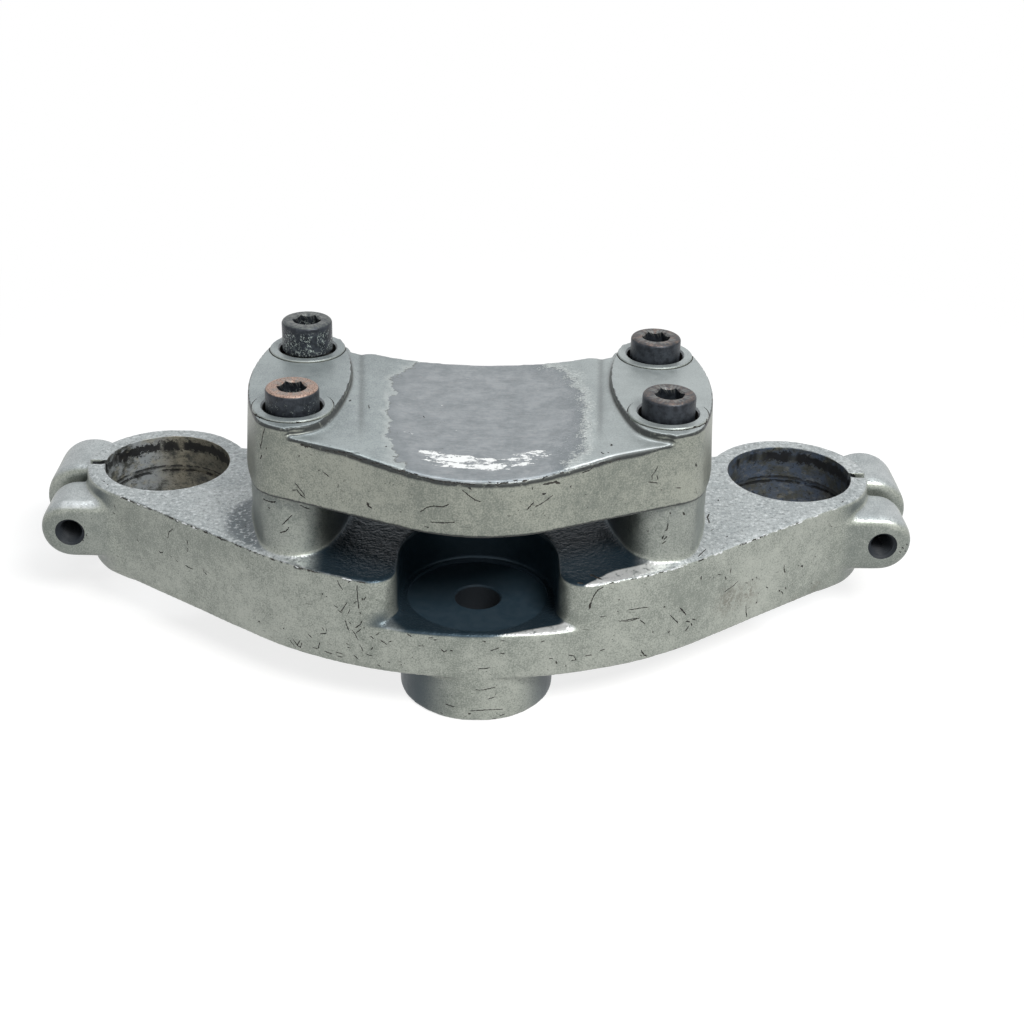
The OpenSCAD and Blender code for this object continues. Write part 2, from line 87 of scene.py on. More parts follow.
# Scratches and chips, as they were read off the photograph: the width, then the
# places that each one runs through, all in the photograph's pixels
PX_PER_MM = 2.9
THINNEST, DEEPEST = 0.36, 0.35
YOKE_MARKS = (
    # One on the round front wall
    (0.6, (495, 694), (496, 694)),
    # Risers
    (0.8, (292, 515), (288, 519), (282, 525)), (1.3, (289, 527), (286, 531), (280, 533)),
    (1.3, (668, 523), (667, 529), (665, 531)), (1.5, (664, 535), (662, 539)), (1.3, (667, 536), (664, 540)),
    (1.3, (666, 541), (662, 544)), (1.8, (683, 512), (685, 515)), (1.5, (670, 512), (671, 514)),
    (1.4, (647, 531), (649, 531)), (1.5, (263, 499), (270, 502), (276, 502)), (1.5, (268, 507), (270, 509)),
    (0.8, (300, 505), (306, 508), (310, 509)),
    # Tops of the arms
    (1.5, (709, 514), (707, 518), (709, 521), (709, 523)), (1.5, (718, 499), (718, 501)),
    (1, (716, 508), (719, 508)), (1, (711, 530), (714, 529)), (1.2, (698, 557), (702, 553), (706, 549)),
    (1.5, (702, 555), (702, 556)), (1.3, (245, 526), (246, 527)), (1.2, (726, 537), (728, 536)),
    (1.5, (103, 481), (105, 482)), (1.3, (107, 484), (109, 485)),
    # Front, right of the hub
    (1.4, (604, 587), (598, 590), (594, 596), (591, 602)), (2.2, (591, 602), (590, 606), (590, 609)),
    (2, (664, 606), (664, 608)), (0.9, (670, 615), (675, 620), (678, 623)),
    (1.6, (680, 608), (684, 612), (686, 615)), (1.5, (686, 621), (690, 622)),
    (1.5, (689, 626), (687, 629), (685, 631)), (1.2, (692, 619), (696, 620)), (1.4, (691, 623), (692, 626)),
    (1.5, (653, 631), (653, 633)), (1.5, (669, 631), (669, 633)), (1.4, (641, 650), (644, 655), (647, 656)),
    (1.2, (640, 655), (642, 656)), (1.4, (675, 649), (677, 648)),
    (0.9, (568, 655), (574, 656), (576, 660), (571, 661)), (0.9, (585, 656), (592, 655)),
    (0.9, (600, 651), (605, 649)), (1.2, (566, 665), (566, 667)), (1.4, (701, 576), (701, 580)),
    (1, (710, 577), (711, 577)), (1.2, (714, 576), (714, 578)), (1, (718, 574), (721, 575)),
    (1.3, (725, 576), (726, 580)), (1.2, (731, 568), (730, 573)), (1.3, (752, 579), (753, 580)),
    (1, (756, 577), (757, 578)), (1.5, (784, 565), (784, 569), (785, 573)), (2, (801, 566), (803, 567)),
    (1.6, (779, 590), (780, 592)), (1, (781, 591), (783, 594)), (1.3, (785, 587), (786, 589)),
    (1.4, (756, 602), (757, 603)), (1, (766, 587), (768, 588)), (1.2, (746, 605), (746, 612), (747, 617)),
    (0.6, (724, 592), (733, 586), (738, 581)), (0.7, (600, 617), (606, 616)),
    (0.7, (626, 620), (632, 619), (638, 618)), (0.6, (618, 621), (630, 621), (640, 618)),
    (0.8, (617, 611), (619, 612)), (0.8, (640, 620), (645, 624)), (0.7, (628, 610), (640, 608), (648, 607)),
    (1.1, (618, 600), (620, 600)), (1, (644, 584), (646, 584)), (0.8, (745, 583), (748, 583)),
    # Front, left of the hub
    (0.8, (337, 580), (340, 586), (343, 590)), (1, (348, 583), (350, 581)),
    (0.9, (357, 585), (357, 590), (358, 600), (359, 609)), (2, (362, 599), (363, 599)),
    (1.5, (360, 612), (361, 614)), (0.8, (366, 597), (364, 600)), (1, (334, 605), (338, 608)),
    (0.8, (341, 611), (345, 606), (347, 602)), (0.8, (338, 610), (342, 613)), (0.8, (354, 603), (357, 601)),
    (0.8, (350, 609), (348, 614)), (0.8, (345, 620), (347, 626), (349, 631)), (1.6, (349, 622), (351, 624)),
    (0.8, (352, 630), (355, 634), (358, 640)), (0.9, (355, 628), (360, 625), (362, 621)),
    (1, (364, 627), (364, 629)), (0.9, (356, 633), (361, 629)), (0.7, (370, 636), (374, 639)),
    (0.8, (376, 635), (379, 633)), (1, (381, 641), (385, 643), (387, 645)), (1, (388, 642), (392, 641)),
    (0.8, (346, 643), (349, 645)), (0.8, (347, 647), (350, 648)), (0.6, (360, 645), (363, 651)),
    (0.9, (371, 650), (373, 647)), (0.9, (354, 655), (358, 659)), (0.8, (366, 654), (373, 656)),
    (1.2, (377, 665), (381, 666)), (1.5, (388, 662), (390, 662)), (1.2, (401, 664), (402, 665)),
    (0.7, (407, 634), (412, 637)), (0.9, (418, 646), (424, 646)), (1.3, (441, 649), (444, 652), (447, 650)),
    (1.3, (450, 650), (453, 651)), (1.5, (283, 628), (284, 629)), (0.7, (290, 640), (294, 646)),
    (0.7, (293, 639), (297, 645), (301, 648)), (0.7, (300, 640), (297, 646)), (0.9, (302, 643), (300, 648)),
    (0.8, (308, 634), (312, 638)), (0.8, (320, 634), (327, 633)), (0.7, (322, 627), (324, 631)),
    (0.7, (326, 628), (327, 632)), (0.9, (312, 647), (318, 649)), (0.6, (320, 642), (318, 649)),
    (1, (324, 651), (333, 654)), (0.9, (336, 652), (343, 654)), (0.8, (337, 656), (343, 657)),
    (1.5, (258, 621), (260, 622)), (1.5, (322, 593), (323, 595)), (1, (326, 596), (327, 597)),
    (1.2, (433, 640), (437, 640)), (0.8, (428, 638), (434, 638)), (1, (380, 640), (383, 641)),
    (0.7, (490, 651), (499, 648)), (0.8, (500, 653), (505, 654)), (0.8, (541, 642), (545, 641)),
    (1.6, (556, 661), (557, 664)), (0.9, (549, 658), (553, 659)), (1, (547, 670), (549, 670)),
    (0.8, (482, 641), (486, 642)), (0.8, (500, 641), (505, 641)),
    # Front of the hub
    (2.4, (468, 714), (471, 714)), (0.7, (475, 690), (483, 690), (496, 687)), (0.6, (488, 699), (495, 697)),
    (0.7, (470, 711), (485, 710), (503, 709)), (0.9, (499, 716), (505, 714)), (0.8, (445, 704), (455, 707)),
    (0.9, (492, 719), (496, 719)), (0.6, (478, 669), (490, 668)), (0.7, (440, 712), (443, 714)),
    # Left end
    (1, (173, 529), (169, 532), (168, 538)), (1.1, (137, 539), (139, 542)),
    (1.2, (159, 551), (161, 553), (163, 552)), (0.8, (187, 540), (188, 545)), (0.8, (188, 548), (188, 552)),
    (1, (114, 505), (115, 508)), (1, (113, 512), (115, 514)), (1.2, (84, 530), (84, 532)),
    (1.2, (86, 534), (87, 536)), (1.2, (82, 539), (84, 541)), (0.9, (176, 560), (178, 562)),
    (0.8, (170, 556), (172, 557)), (0.8, (185, 565), (190, 568), (193, 569)), (0.8, (203, 570), (207, 575)),
    # Right end
    (1.2, (831, 526), (832, 527)), (1.2, (902, 547), (904, 549)), (1.3, (907, 544), (908, 546)),
    (1.2, (899, 551), (901, 553)), (1, (905, 551), (907, 552)), (1, (798, 565), (799, 566)),
    (1, (811, 583), (812, 584)), (0.9, (815, 556), (816, 557)), (1.4, (836, 505), (838, 506)),
    (1.4, (842, 502), (844, 501)),
    # Recess
    (3, (590, 574), (596, 577), (602, 579)), (2.4, (577, 582), (584, 583)), (1.2, (402, 610), (404, 611)),
)
CLAMP_MARKS = (
    # Front, left half
    (0.8, (265, 428), (263, 434), (262, 440), (261, 446)), (1.6, (260, 443), (261, 449)),
    (1.2, (262, 455), (260, 459)), (1, (267, 447), (266, 450)), (2, (299, 455), (299, 457)),
    (0.8, (295, 483), (300, 489), (305, 496)), (0.8, (292, 490), (297, 490), (300, 494), (305, 498)),
    (1.6, (300, 495), (303, 497)), (0.7, (318, 470), (320, 471)), (1, (323, 472), (326, 474), (329, 477)),
    (1.2, (344, 480), (344, 482)), (2.6, (367, 502), (369, 506), (372, 508)), (1, (401, 511), (401, 512)),
    (1.1, (420, 512), (428, 507), (434, 506), (443, 507), (449, 504)),
    (0.7, (462, 490), (468, 495), (475, 500), (481, 502)), (1.5, (468, 487), (472, 490)),
    (1.2, (456, 484), (457, 485)), (1, (437, 480), (438, 481)), (0.6, (430, 522), (445, 523), (455, 522)),
    (0.7, (424, 526), (429, 528)), (0.6, (338, 484), (338, 488)),
    # Front, right half
    (2.4, (543, 485), (550, 483), (556, 482), (560, 484)), (1.2, (543, 480), (545, 476)),
    (1.2, (533, 487), (532, 490)), (1.6, (542, 494), (546, 494)), (1.6, (527, 510), (531, 505), (534, 502)),
    (0.7, (535, 507), (541, 504), (548, 499), (553, 495)), (2, (571, 486), (571, 487)),
    (1, (507, 516), (511, 516)), (0.8, (658, 466), (655, 472), (652, 476), (652, 480)),
    (1.1, (657, 475), (658, 480)), (0.9, (648, 482), (658, 483)), (1.2, (661, 490), (662, 490)),
    (0.7, (676, 488), (681, 488)), (2, (696, 463), (696, 467)), (1.2, (697, 491), (696, 493)),
    (1.2, (586, 494), (586, 495)), (0.8, (582, 473), (590, 470), (596, 465)), (1.3, (488, 481), (492, 482)),
    (1.6, (497, 482), (499, 483)), (1.3, (503, 483), (509, 481)), (1.2, (513, 480), (518, 479)),
    (1.6, (503, 537), (506, 538)),
    # Tops
    (1.8, (611, 444), (612, 446)), (1.3, (601, 452), (604, 454)), (1, (607, 452), (609, 453)),
    (1, (575, 458), (577, 458)), (1.6, (349, 402), (351, 400)), (0.8, (369, 405), (369, 409)),
    (1.1, (385, 447), (387, 446)), (0.7, (345, 451), (352, 452), (360, 453)), (0.8, (392, 456), (398, 457)),
    (0.8, (423, 415), (425, 417)),
)
# Chipped line under the rounded front edge of the saddle, left and right of the middle
EDGE_LEFT = ((300, 445), (320, 449), (345, 454), (370, 462), (400, 470), (430, 479), (455, 483), (475, 485))
EDGE_RIGHT = ((486, 485), (509, 483), (540, 478), (560, 473), (590, 466), (620, 459))


def mesh_object(name, mesh):
    o = bpy.data.objects.new(name, mesh)
    bpy.context.scene.collection.objects.link(o)
    return o


def from_bmesh(name, bm):
    bmesh.ops.recalc_face_normals(bm, faces=bm.faces)
    mesh = bpy.data.meshes.new(name)
    bm.to_mesh(mesh)
    bm.free()
    return mesh_object(name, mesh)


def welded_copy(node, name):
    """A closed copy of a CAD node's mesh, whose split vertices are welded."""
    bm = bmesh.new()
    bm.from_mesh(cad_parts[node].data)
    bmesh.ops.remove_doubles(bm, verts=bm.verts, dist=1e-6)
    o = from_bmesh(name, bm)
    o.data.materials.clear()
    return o


def lathe(profile, segments=128, radius=None):
    """A closed solid about Z from (r, z) points in mm that start and end on the
    axis, or a ring from a closed profile; radius(r, z, angle) may change a radius."""
    bm = bmesh.new()
    rings = []
    for r, z in profile:
        if r < 1e-6:
            rings.append([bm.verts.new((0, 0, z * MM))])
            continue
        ring = []
        for i in range(segments):
            a = 2 * math.pi * i / segments
            q = radius(r, z, a) if radius else r
            ring.append(bm.verts.new((q * MM * math.cos(a), q * MM * math.sin(a), z * MM)))
        rings.append(ring)
    if profile[0] == profile[-1]:
        bmesh.ops.delete(bm, geom=rings.pop(), context="VERTS")
        rings.append(rings[0])
    for low, high in zip(rings, rings[1:]):
        for i in range(segments):
            j = (i + 1) % segments
            corners = [low[i % len(low)], low[j % len(low)], high[j % len(high)], high[i % len(high)]]
            corners = list(dict.fromkeys(corners))
            if len(corners) >= 3:
                bm.faces.new(corners)
    return from_bmesh("tool", bm)


def cylinder(r, z0, z1, segments=128):
    return lathe([(0, z0), (r, z0), (r, z1), (0, z1)], segments)


def block(x0, x1, y0, y1, z0, z1):
    bm = bmesh.new()
    bmesh.ops.create_cube(bm, size=1)
    size = Vector((x1 - x0, y1 - y0, z1 - z0)) * MM
    centre = Vector((x1 + x0, y1 + y0, z1 + z0)) * MM / 2
    stretched = Matrix.Translation(centre) @ Matrix.Diagonal(size.to_4d())
    bmesh.ops.transform(bm, matrix=stretched, verts=bm.verts)
    return from_bmesh("tool", bm)


def placed(o, x, y, z, turn=None):
    m = Matrix.Translation(Vector((x, y, z)) * MM)
    o.data.transform(m @ turn.to_4x4() if turn else m)
    return o


def along(direction):
    """The turn that lays +Z along a direction."""
    return Vector(direction).to_track_quat("Z", "Y").to_matrix()


def apply_modifiers(o):
    mesh = bpy.data.meshes.new_from_object(o.evaluated_get(bpy.context.evaluated_depsgraph_get()))
    old = o.data
    o.modifiers.clear()
    o.data = mesh
    bpy.data.meshes.remove(old)


def boolean(o, operation, *tools):
    for tool in tools:
        mod = o.modifiers.new("boolean", "BOOLEAN")
        mod.operation = operation
        mod.object = tool
        mod.solver = "MANIFOLD"
        mod.material_mode = "INDEX"
        apply_modifiers(o)
        bpy.data.objects.remove(tool)


def remesh(o, voxel):
    mod = o.modifiers.new("remesh", "REMESH")
    mod.mode = "VOXEL"
    mod.voxel_size = voxel * MM
    apply_modifiers(o)


def is_closed(mesh):
    bm = bmesh.new()
    bm.from_mesh(mesh)
    closed = all(e.is_manifold for e in bm.edges)
    bm.free()
    return closed


def thin_out(o, triangles):
    """Collapses edges until the piece has about that many triangles, and tries other
    numbers until it stays closed, because later cuts need that."""
    full = o.data
    now = sum(len(p.vertices) - 2 for p in full.polygons)
    for share in (1, 0.97, 0.94, 0.91, 0.88, 0.85):
        o.data = full.copy()
        mod = o.modifiers.new("thin", "DECIMATE")
        mod.ratio = min(1, triangles * share / now)
        apply_modifiers(o)
        if is_closed(o.data):
            break
    bpy.data.meshes.remove(full)


def points_of(mesh):
    co = np.empty(len(mesh.vertices) * 3)
    mesh.vertices.foreach_get("co", co)
    return co.reshape(-1, 3) / MM


def set_points(mesh, co):
    mesh.vertices.foreach_set("co", (co * MM).ravel())
    mesh.update()


def normals_of(mesh):
    normals = np.empty(len(mesh.vertices) * 3)
    mesh.vertices.foreach_get("normal", normals)
    return normals.reshape(-1, 3)


def smooth(o, passes, weight=None, step=0.6):
    """Rounds edges: each point moves towards the middle of its neighbours."""
    mesh = o.data
    co = points_of(mesh)
    n = len(co)
    ends = np.empty(len(mesh.edges) * 2, dtype=np.int64)
    mesh.edges.foreach_get("vertices", ends)
    a, b = ends.reshape(-1, 2).T
    count = np.bincount(ends, minlength=n)[:, None]
    share = step if weight is None else step * weight(co)[:, None]
    for _ in range(passes):
        middle = np.stack([np.bincount(a, co[b, k], n) + np.bincount(b, co[a, k], n) for k in range(3)], 1)
        co += share * (middle / count - co)
    set_points(mesh, co)


def ramp(x, low, high):
    return np.clip((x - low) / (high - low), 0, 1)


def bell(x, width):
    return np.exp(-(x / width) ** 2)


def uneven(o, depth, size, seed, weight=None):
    """Unevenness of a sand casting: height and size in mm, where weight allows."""
    mesh = o.data
    co = points_of(mesh)
    normals = normals_of(mesh)
    share = np.ones(len(co)) if weight is None else weight(co, normals)
    shift = Vector((seed, 0, 0))
    move = np.array([noise.noise(Vector(p) / size + shift) if s > 0 else 0 for p, s in zip(co, share)])
    set_points(mesh, co + (depth * move * share)[:, None] * normals)


def keep_inside(o, node):
    """Brings points that smoothing or unevenness pushed out back to the node's box."""
    low, high = (np.array(corner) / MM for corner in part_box(node))
    set_points(o.data, np.clip(points_of(o.data), low, high))


def shade(o, angle=32):
    for p in o.data.polygons:
        p.use_smooth = True
    o.data.set_sharp_from_angle(angle=math.radians(angle))
    while o.data.materials[-1] is None:
        o.data.materials.pop()


def thread_radius(pitch, depth):
    """Radius of a screw thread that is cut outwards from a plain radius."""
    def radius(r, z, a):
        turn = (z / pitch - a / (2 * math.pi)) % 1
        return r + depth * (1 - abs(2 * turn - 1)) if r > 1 else r
    return radius


def threaded(r, z0, z1, pitch, depth, segments=48):
    """A threaded rod about Z, as a solid or as a tool that taps a hole."""
    steps = int((z1 - z0) / pitch * 8)
    profile = [(0, z0)] + [(r, z0 + (z1 - z0) * i / steps) for i in range(steps + 1)] + [(0, z1)]
    return lathe(profile, segments, thread_radius(pitch, depth))


def radial(c, x, y):
    return np.hypot(c[:, 0] - x, c[:, 1] - y)


def camera_axes():
    """Directions of the photograph's right and down, and of its camera's look."""
    forward = Vector((math.sin(YAW) * math.cos(PITCH), math.cos(YAW) * math.cos(PITCH), -math.sin(PITCH)))
    level = Vector((math.cos(YAW), -math.sin(YAW), 0))
    steep = forward.cross(level)
    right = math.cos(ROLL) * level + math.sin(ROLL) * steep
    down = math.cos(ROLL) * steep - math.sin(ROLL) * level
    return right, down, forward


def search_tree(node):
    """What seen_at looks through: the faces of a CAD node."""
    bm = bmesh.new()
    bm.from_mesh(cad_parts[node].data)
    tree = BVHTree.FromBMesh(bm)
    bm.free()
    return tree


def seen_at(tree, u, v):
    """Point of a CAD node, in mm, that is seen at a pixel of the photograph."""
    right, down, forward = camera_axes()
    sight = (u - FRAME_PX / 2) * right + (v - CENTRE_V) * down + FOCAL * forward
    return tree.ray_cast(Vector(EYE), sight.normalized())[0] / MM


def scratch(o, width, points, slot, depth, rng):
    """A cutter along points on o's surface: a ragged wedge that tapers at its ends."""
    step = max(0.35, width * 0.6)
    path = [Vector(points[0])]
    for a, b in zip(points, points[1:]):
        a, b = Vector(a), Vector(b)
        count = max(1, round((b - a).length / step))
        path += [a.lerp(b, (i + 1) / count) for i in range(count)]
    if len(path) < 3:
        middle = (path[0] + path[-1]) / 2
        way = path[-1] - path[0]
        reach = max(width, way.length) / 2
        way = (way if way.length > 0.1 else Vector((1, 0, 0.3))).normalized() * reach
        path = [middle - way, middle, middle + way]
    bm = bmesh.new()
    rings = []
    last = len(path) - 1
    for i, p in enumerate(path):
        ok, spot, normal, _ = o.closest_point_on_mesh(p * MM)
        spot = spot / MM
        way = path[min(i + 1, last)] - path[max(i - 1, 0)]
        side = way.cross(normal).normalized()
        end = 0.25 if i in (0, last) else 1
        half = width / 2 * end * rng.uniform(0.6, 1.3)
        deep = depth * end * rng.uniform(0.7, 1.2)
        spot = spot + side * rng.uniform(-0.2, 0.2) * width
        section = [spot + side * half + normal * 0.25, spot + side * half * 0.8 - normal * deep * 0.5,
                   spot - normal * deep, spot - side * half * 0.8 - normal * deep * 0.5,
                   spot - side * half + normal * 0.25]
        rings.append([bm.verts.new(v * MM) for v in section])
    n = len(rings[0])
    for low, high in zip(rings, rings[1:]):
        for i in range(n):
            bm.faces.new((low[i], low[(i + 1) % n], high[(i + 1) % n], high[i]))
    bm.faces.new(rings[0][::-1])
    bm.faces.new(rings[-1])
    bmesh.ops.triangulate(bm, faces=bm.faces)
    for f in bm.faces:
        f.material_index = slot
    return from_bmesh("tool", bm)


def join_tools(tools):
    """One cutter out of many, united pair by pair."""
    while len(tools) > 1:
        pairs = []
        for i in range(0, len(tools) - 1, 2):
            boolean(tools[i], "UNION", tools[i + 1])
            pairs.append(tools[i])
        tools = pairs + (tools[-1:] if len(tools) % 2 else [])
    return tools[0]


def slotted(tool, slot):
    """Gives all faces of a cutter a slot, which the faces that it cuts take on."""
    tool.data.polygons.foreach_set("material_index", [slot] * len(tool.data.polygons))
    return tool


def give_slots(o, finishes):
    o.data.materials.clear()
    for finish in finishes:
        o.data.materials.append(finish)


def wear(o, tree, marks, seed, extra):
    """Cuts the marks that the photograph shows into a casting, and the extra cuts."""
    rng = random.Random(seed)
    tools = []
    for pixels, *places in marks:
        width = max(THINNEST, pixels / PX_PER_MM)
        points = [seen_at(tree, u, v) for u, v in places]
        tools.append(scratch(o, width, points, CHIP, min(DEEPEST, 0.12 + width * 0.3), rng))
    tools += [scratch(o, *cut, rng) for cut in extra]
    boolean(o, "DIFFERENCE", join_tools(tools))


def front_edge(x):
    """Place of the yoke's front top edge at x, in mm."""
    arc_y, arc_r, flank_x, end = 93.0, 117.0, 69.6, (120.0, 36.3)
    a = min(abs(x), flank_x)
    y = arc_y - math.sqrt(arc_r ** 2 - a ** 2)
    if abs(x) > flank_x:
        y += (abs(x) - flank_x) * (end[1] - y) / (end[0] - flank_x)
    return x, y, TOP - 0.4


def edge_nicks(rng, count):
    """Small nicks along the yoke's front top edge: mostly dark on the left arm and
    mostly bare on the right one. The nicks are wear; the split between the arms is
    painted light, shading the left edge and lighting the right one."""
    nicks = []
    for _ in range(count):
        side = rng.choice((-1, 1))
        x = side * rng.uniform(34, 116)
        length, w = rng.uniform(0.3, 2.0), rng.uniform(0.25, 0.7)
        kinds = (CHIP, CHIP, CHIP, NICK) if side < 0 else (NICK, NICK, CHIP)
        nicks.append((w, [front_edge(x), front_edge(x + length)], rng.choice(kinds), 0.12))
    return nicks


def make_yoke(finishes):
    o = welded_copy("yoke", "cast_yoke")
    fill = 0.7
    for side in (-1, 1):
        boolean(o, "UNION", placed(cylinder(FORK_R + fill, RING_LOW, TOP), side * FORK_X, FORK_Y, 0),
                placed(cylinder(THREAD_R + 1, 0, 17, 48), side * LUG_X, LUG_FRONT, LUG_Z, along((0, 1, 0))),
                placed(cylinder(HEAD_BORE_R + 1, 0, 20, 64), side * LUG_X, LUG_REAR, LUG_Z, along((0, -1, 0))))
    boolean(o, "UNION", lathe([
        (0, 0), (STEM_R + fill, 0), (STEM_R + fill, STEM_DEPTH + 2), (SEAT_R + 0.3, STEM_DEPTH + 2),
        (SEAT_R + 0.3, FLOOR_Z), (0, FLOOR_Z)]))
    remesh(o, 0.5)
    smooth(o, 7)

    def soft_places(c):
        mouth = ramp(-c[:, 1], 6, 14) * ramp(40 - abs(c[:, 0]), 0, 6) * ramp(c[:, 2], 22, 27)
        lugs = ramp(abs(c[:, 0]), 112, 118) * ramp(FORK_Y - 3 - c[:, 1], 0, 3)
        return np.maximum(mouth, lugs)

    def rough_tops(c, n):
        return ramp(n[:, 2], 0.6, 0.9) * ramp(c[:, 2], 40, 44) * (radial(c, 0, 0) > 26)

    smooth(o, 24, soft_places)
    uneven(o, 0.12, 14, 3)
    uneven(o, 0.1, 2.1, 11, rough_tops)
    keep_inside(o, "yoke")
    thin_out(o, 132000)
    give_slots(o, finishes)
    for side in (-1, 1):
        r, low_over, top_over = FORK_R, CHAMFER + 1, 1.15
        bore = lathe([
            (0, RING_LOW - 1), (r + low_over, RING_LOW - 1), (r, RING_LOW + CHAMFER), (r, GROOVE_LOW),
            (r + GROOVE_DEPTH, GROOVE_LOW), (r + GROOVE_DEPTH, GROOVE_LOW + GROOVE_W),
            (r, GROOVE_LOW + GROOVE_W),
            (r, TOP - 0.15), (r + top_over, TOP + 1), (0, TOP + 1)], 256)
        xs = sorted((side * (FORK_X + FORK_R - 2), side * (FORK_X + RING_R + 1)))
        slot = block(*xs, FORK_Y - SLOT_W / 2, FORK_Y + SLOT_W / 2, RING_LOW - 1, TOP + 1)
        mouth = lathe([(0, -1), (THREAD_R + CHAMFER + 1, -1), (THREAD_R, CHAMFER), (0, CHAMFER)], 64)
        thread = threaded(THREAD_R - 0.35, -0.5, 20, PINCH_PITCH, 0.7)
        y0 = LUG_REAR - FORK_Y
        head = lathe([
            (0, -1), (HEAD_BORE_R + CHAMFER + 1, -1), (HEAD_BORE_R, CHAMFER), (HEAD_BORE_R, HEAD_BORE_DEPTH),
            (CLEAR_R, HEAD_BORE_DEPTH), (CLEAR_R, y0), (0, y0)], 96)
        boolean(o, "DIFFERENCE", slotted(placed(bore, side * FORK_X, FORK_Y, 0), BORE), slotted(slot, BORE),
                slotted(placed(mouth, side * LUG_X, LUG_FRONT, LUG_Z, along((0, 1, 0))), MACHINED),
                slotted(placed(thread, side * LUG_X, LUG_FRONT, LUG_Z, along((0, 1, 0))), MACHINED),
                slotted(placed(head, side * LUG_X, LUG_REAR, LUG_Z, along((0, -1, 0))), MACHINED))
    stem = lathe([
        (0, -1), (STEM_R, -1), (STEM_R, STEM_DEPTH), (BOLT_R, STEM_DEPTH), (BOLT_R, SEAT_Z - 0.5),
        (BOLT_R + 0.5, SEAT_Z), (SEAT_R, SEAT_Z), (SEAT_R, TOP + 5), (0, TOP + 5)], 192)
    bar = placed(cylinder(BAR_R, -90, 90, 192), 0, BAR_Y, PART_Z, along((1, 0, 0)))
    boolean(o, "DIFFERENCE", slotted(stem, MACHINED), slotted(bar, MACHINED))
    wear(o, search_tree("yoke"), YOKE_MARKS, 5, edge_nicks(random.Random(21), 110))
    shade(o)
    return o


def saddle_relief(c):
    """Lift of the saddle's top, in mm: a shallow valley beside each pad that runs
    out towards the front, a shoulder inside it, and a slightly deeper dish."""
    valley_x = 35.0 + 0.065 * (c[:, 1] + 1.6)
    d = abs(c[:, 0]) - valley_x
    lift = 0.35 * bell(d + 4.5, 3.2) - 0.55 * bell(d, 1.5) - 0.3 * bell(d + 17, 7) + 0.2 * bell(d - 3, 1.6)
    return lift * ramp(c[:, 1], -14, 12) * ramp(c[:, 2], 81.5, 83.5) * (d < 6)


def rim_nicks(rng):
    """Chips round the front of the two near rims."""
    nicks = []
    for side, sweep, count in ((-1, (205, 285), 26), (1, (255, 340), 18)):
        for _ in range(count):
            a = math.radians(rng.uniform(*sweep))
            turn = math.radians(rng.uniform(1, 7))
            r = RIM_R + rng.uniform(-0.3, 0.5)
            x, y = side * SCREW_X, BAR_Y - SCREW_DY
            ends = []
            for t in (a, a + turn):
                ends.append((x + r * math.cos(t), y + r * math.sin(t), PAD_Z + rng.uniform(-0.6, 0.3)))
            nicks.append((rng.uniform(0.25, 0.8), ends, CHIP, 0.25))
    return nicks


def ragged_line(line, rng, share):
    """Short cuts of changing width along a line, of which share are made."""
    cuts = []
    for a, b in zip(line, line[1:]):
        count = max(2, round((b - a).length / 1.3))
        for i in range(count):
            if rng.random() < share:
                lift = Vector((0, 0, rng.uniform(-0.35, 0.35)))
                width = rng.uniform(0.15, 0.75)
                ends = [a.lerp(b, place / count) + lift for place in (i, i + 1.15)]
                cuts.append((width, ends, CHIP, 0.2))
    return cuts


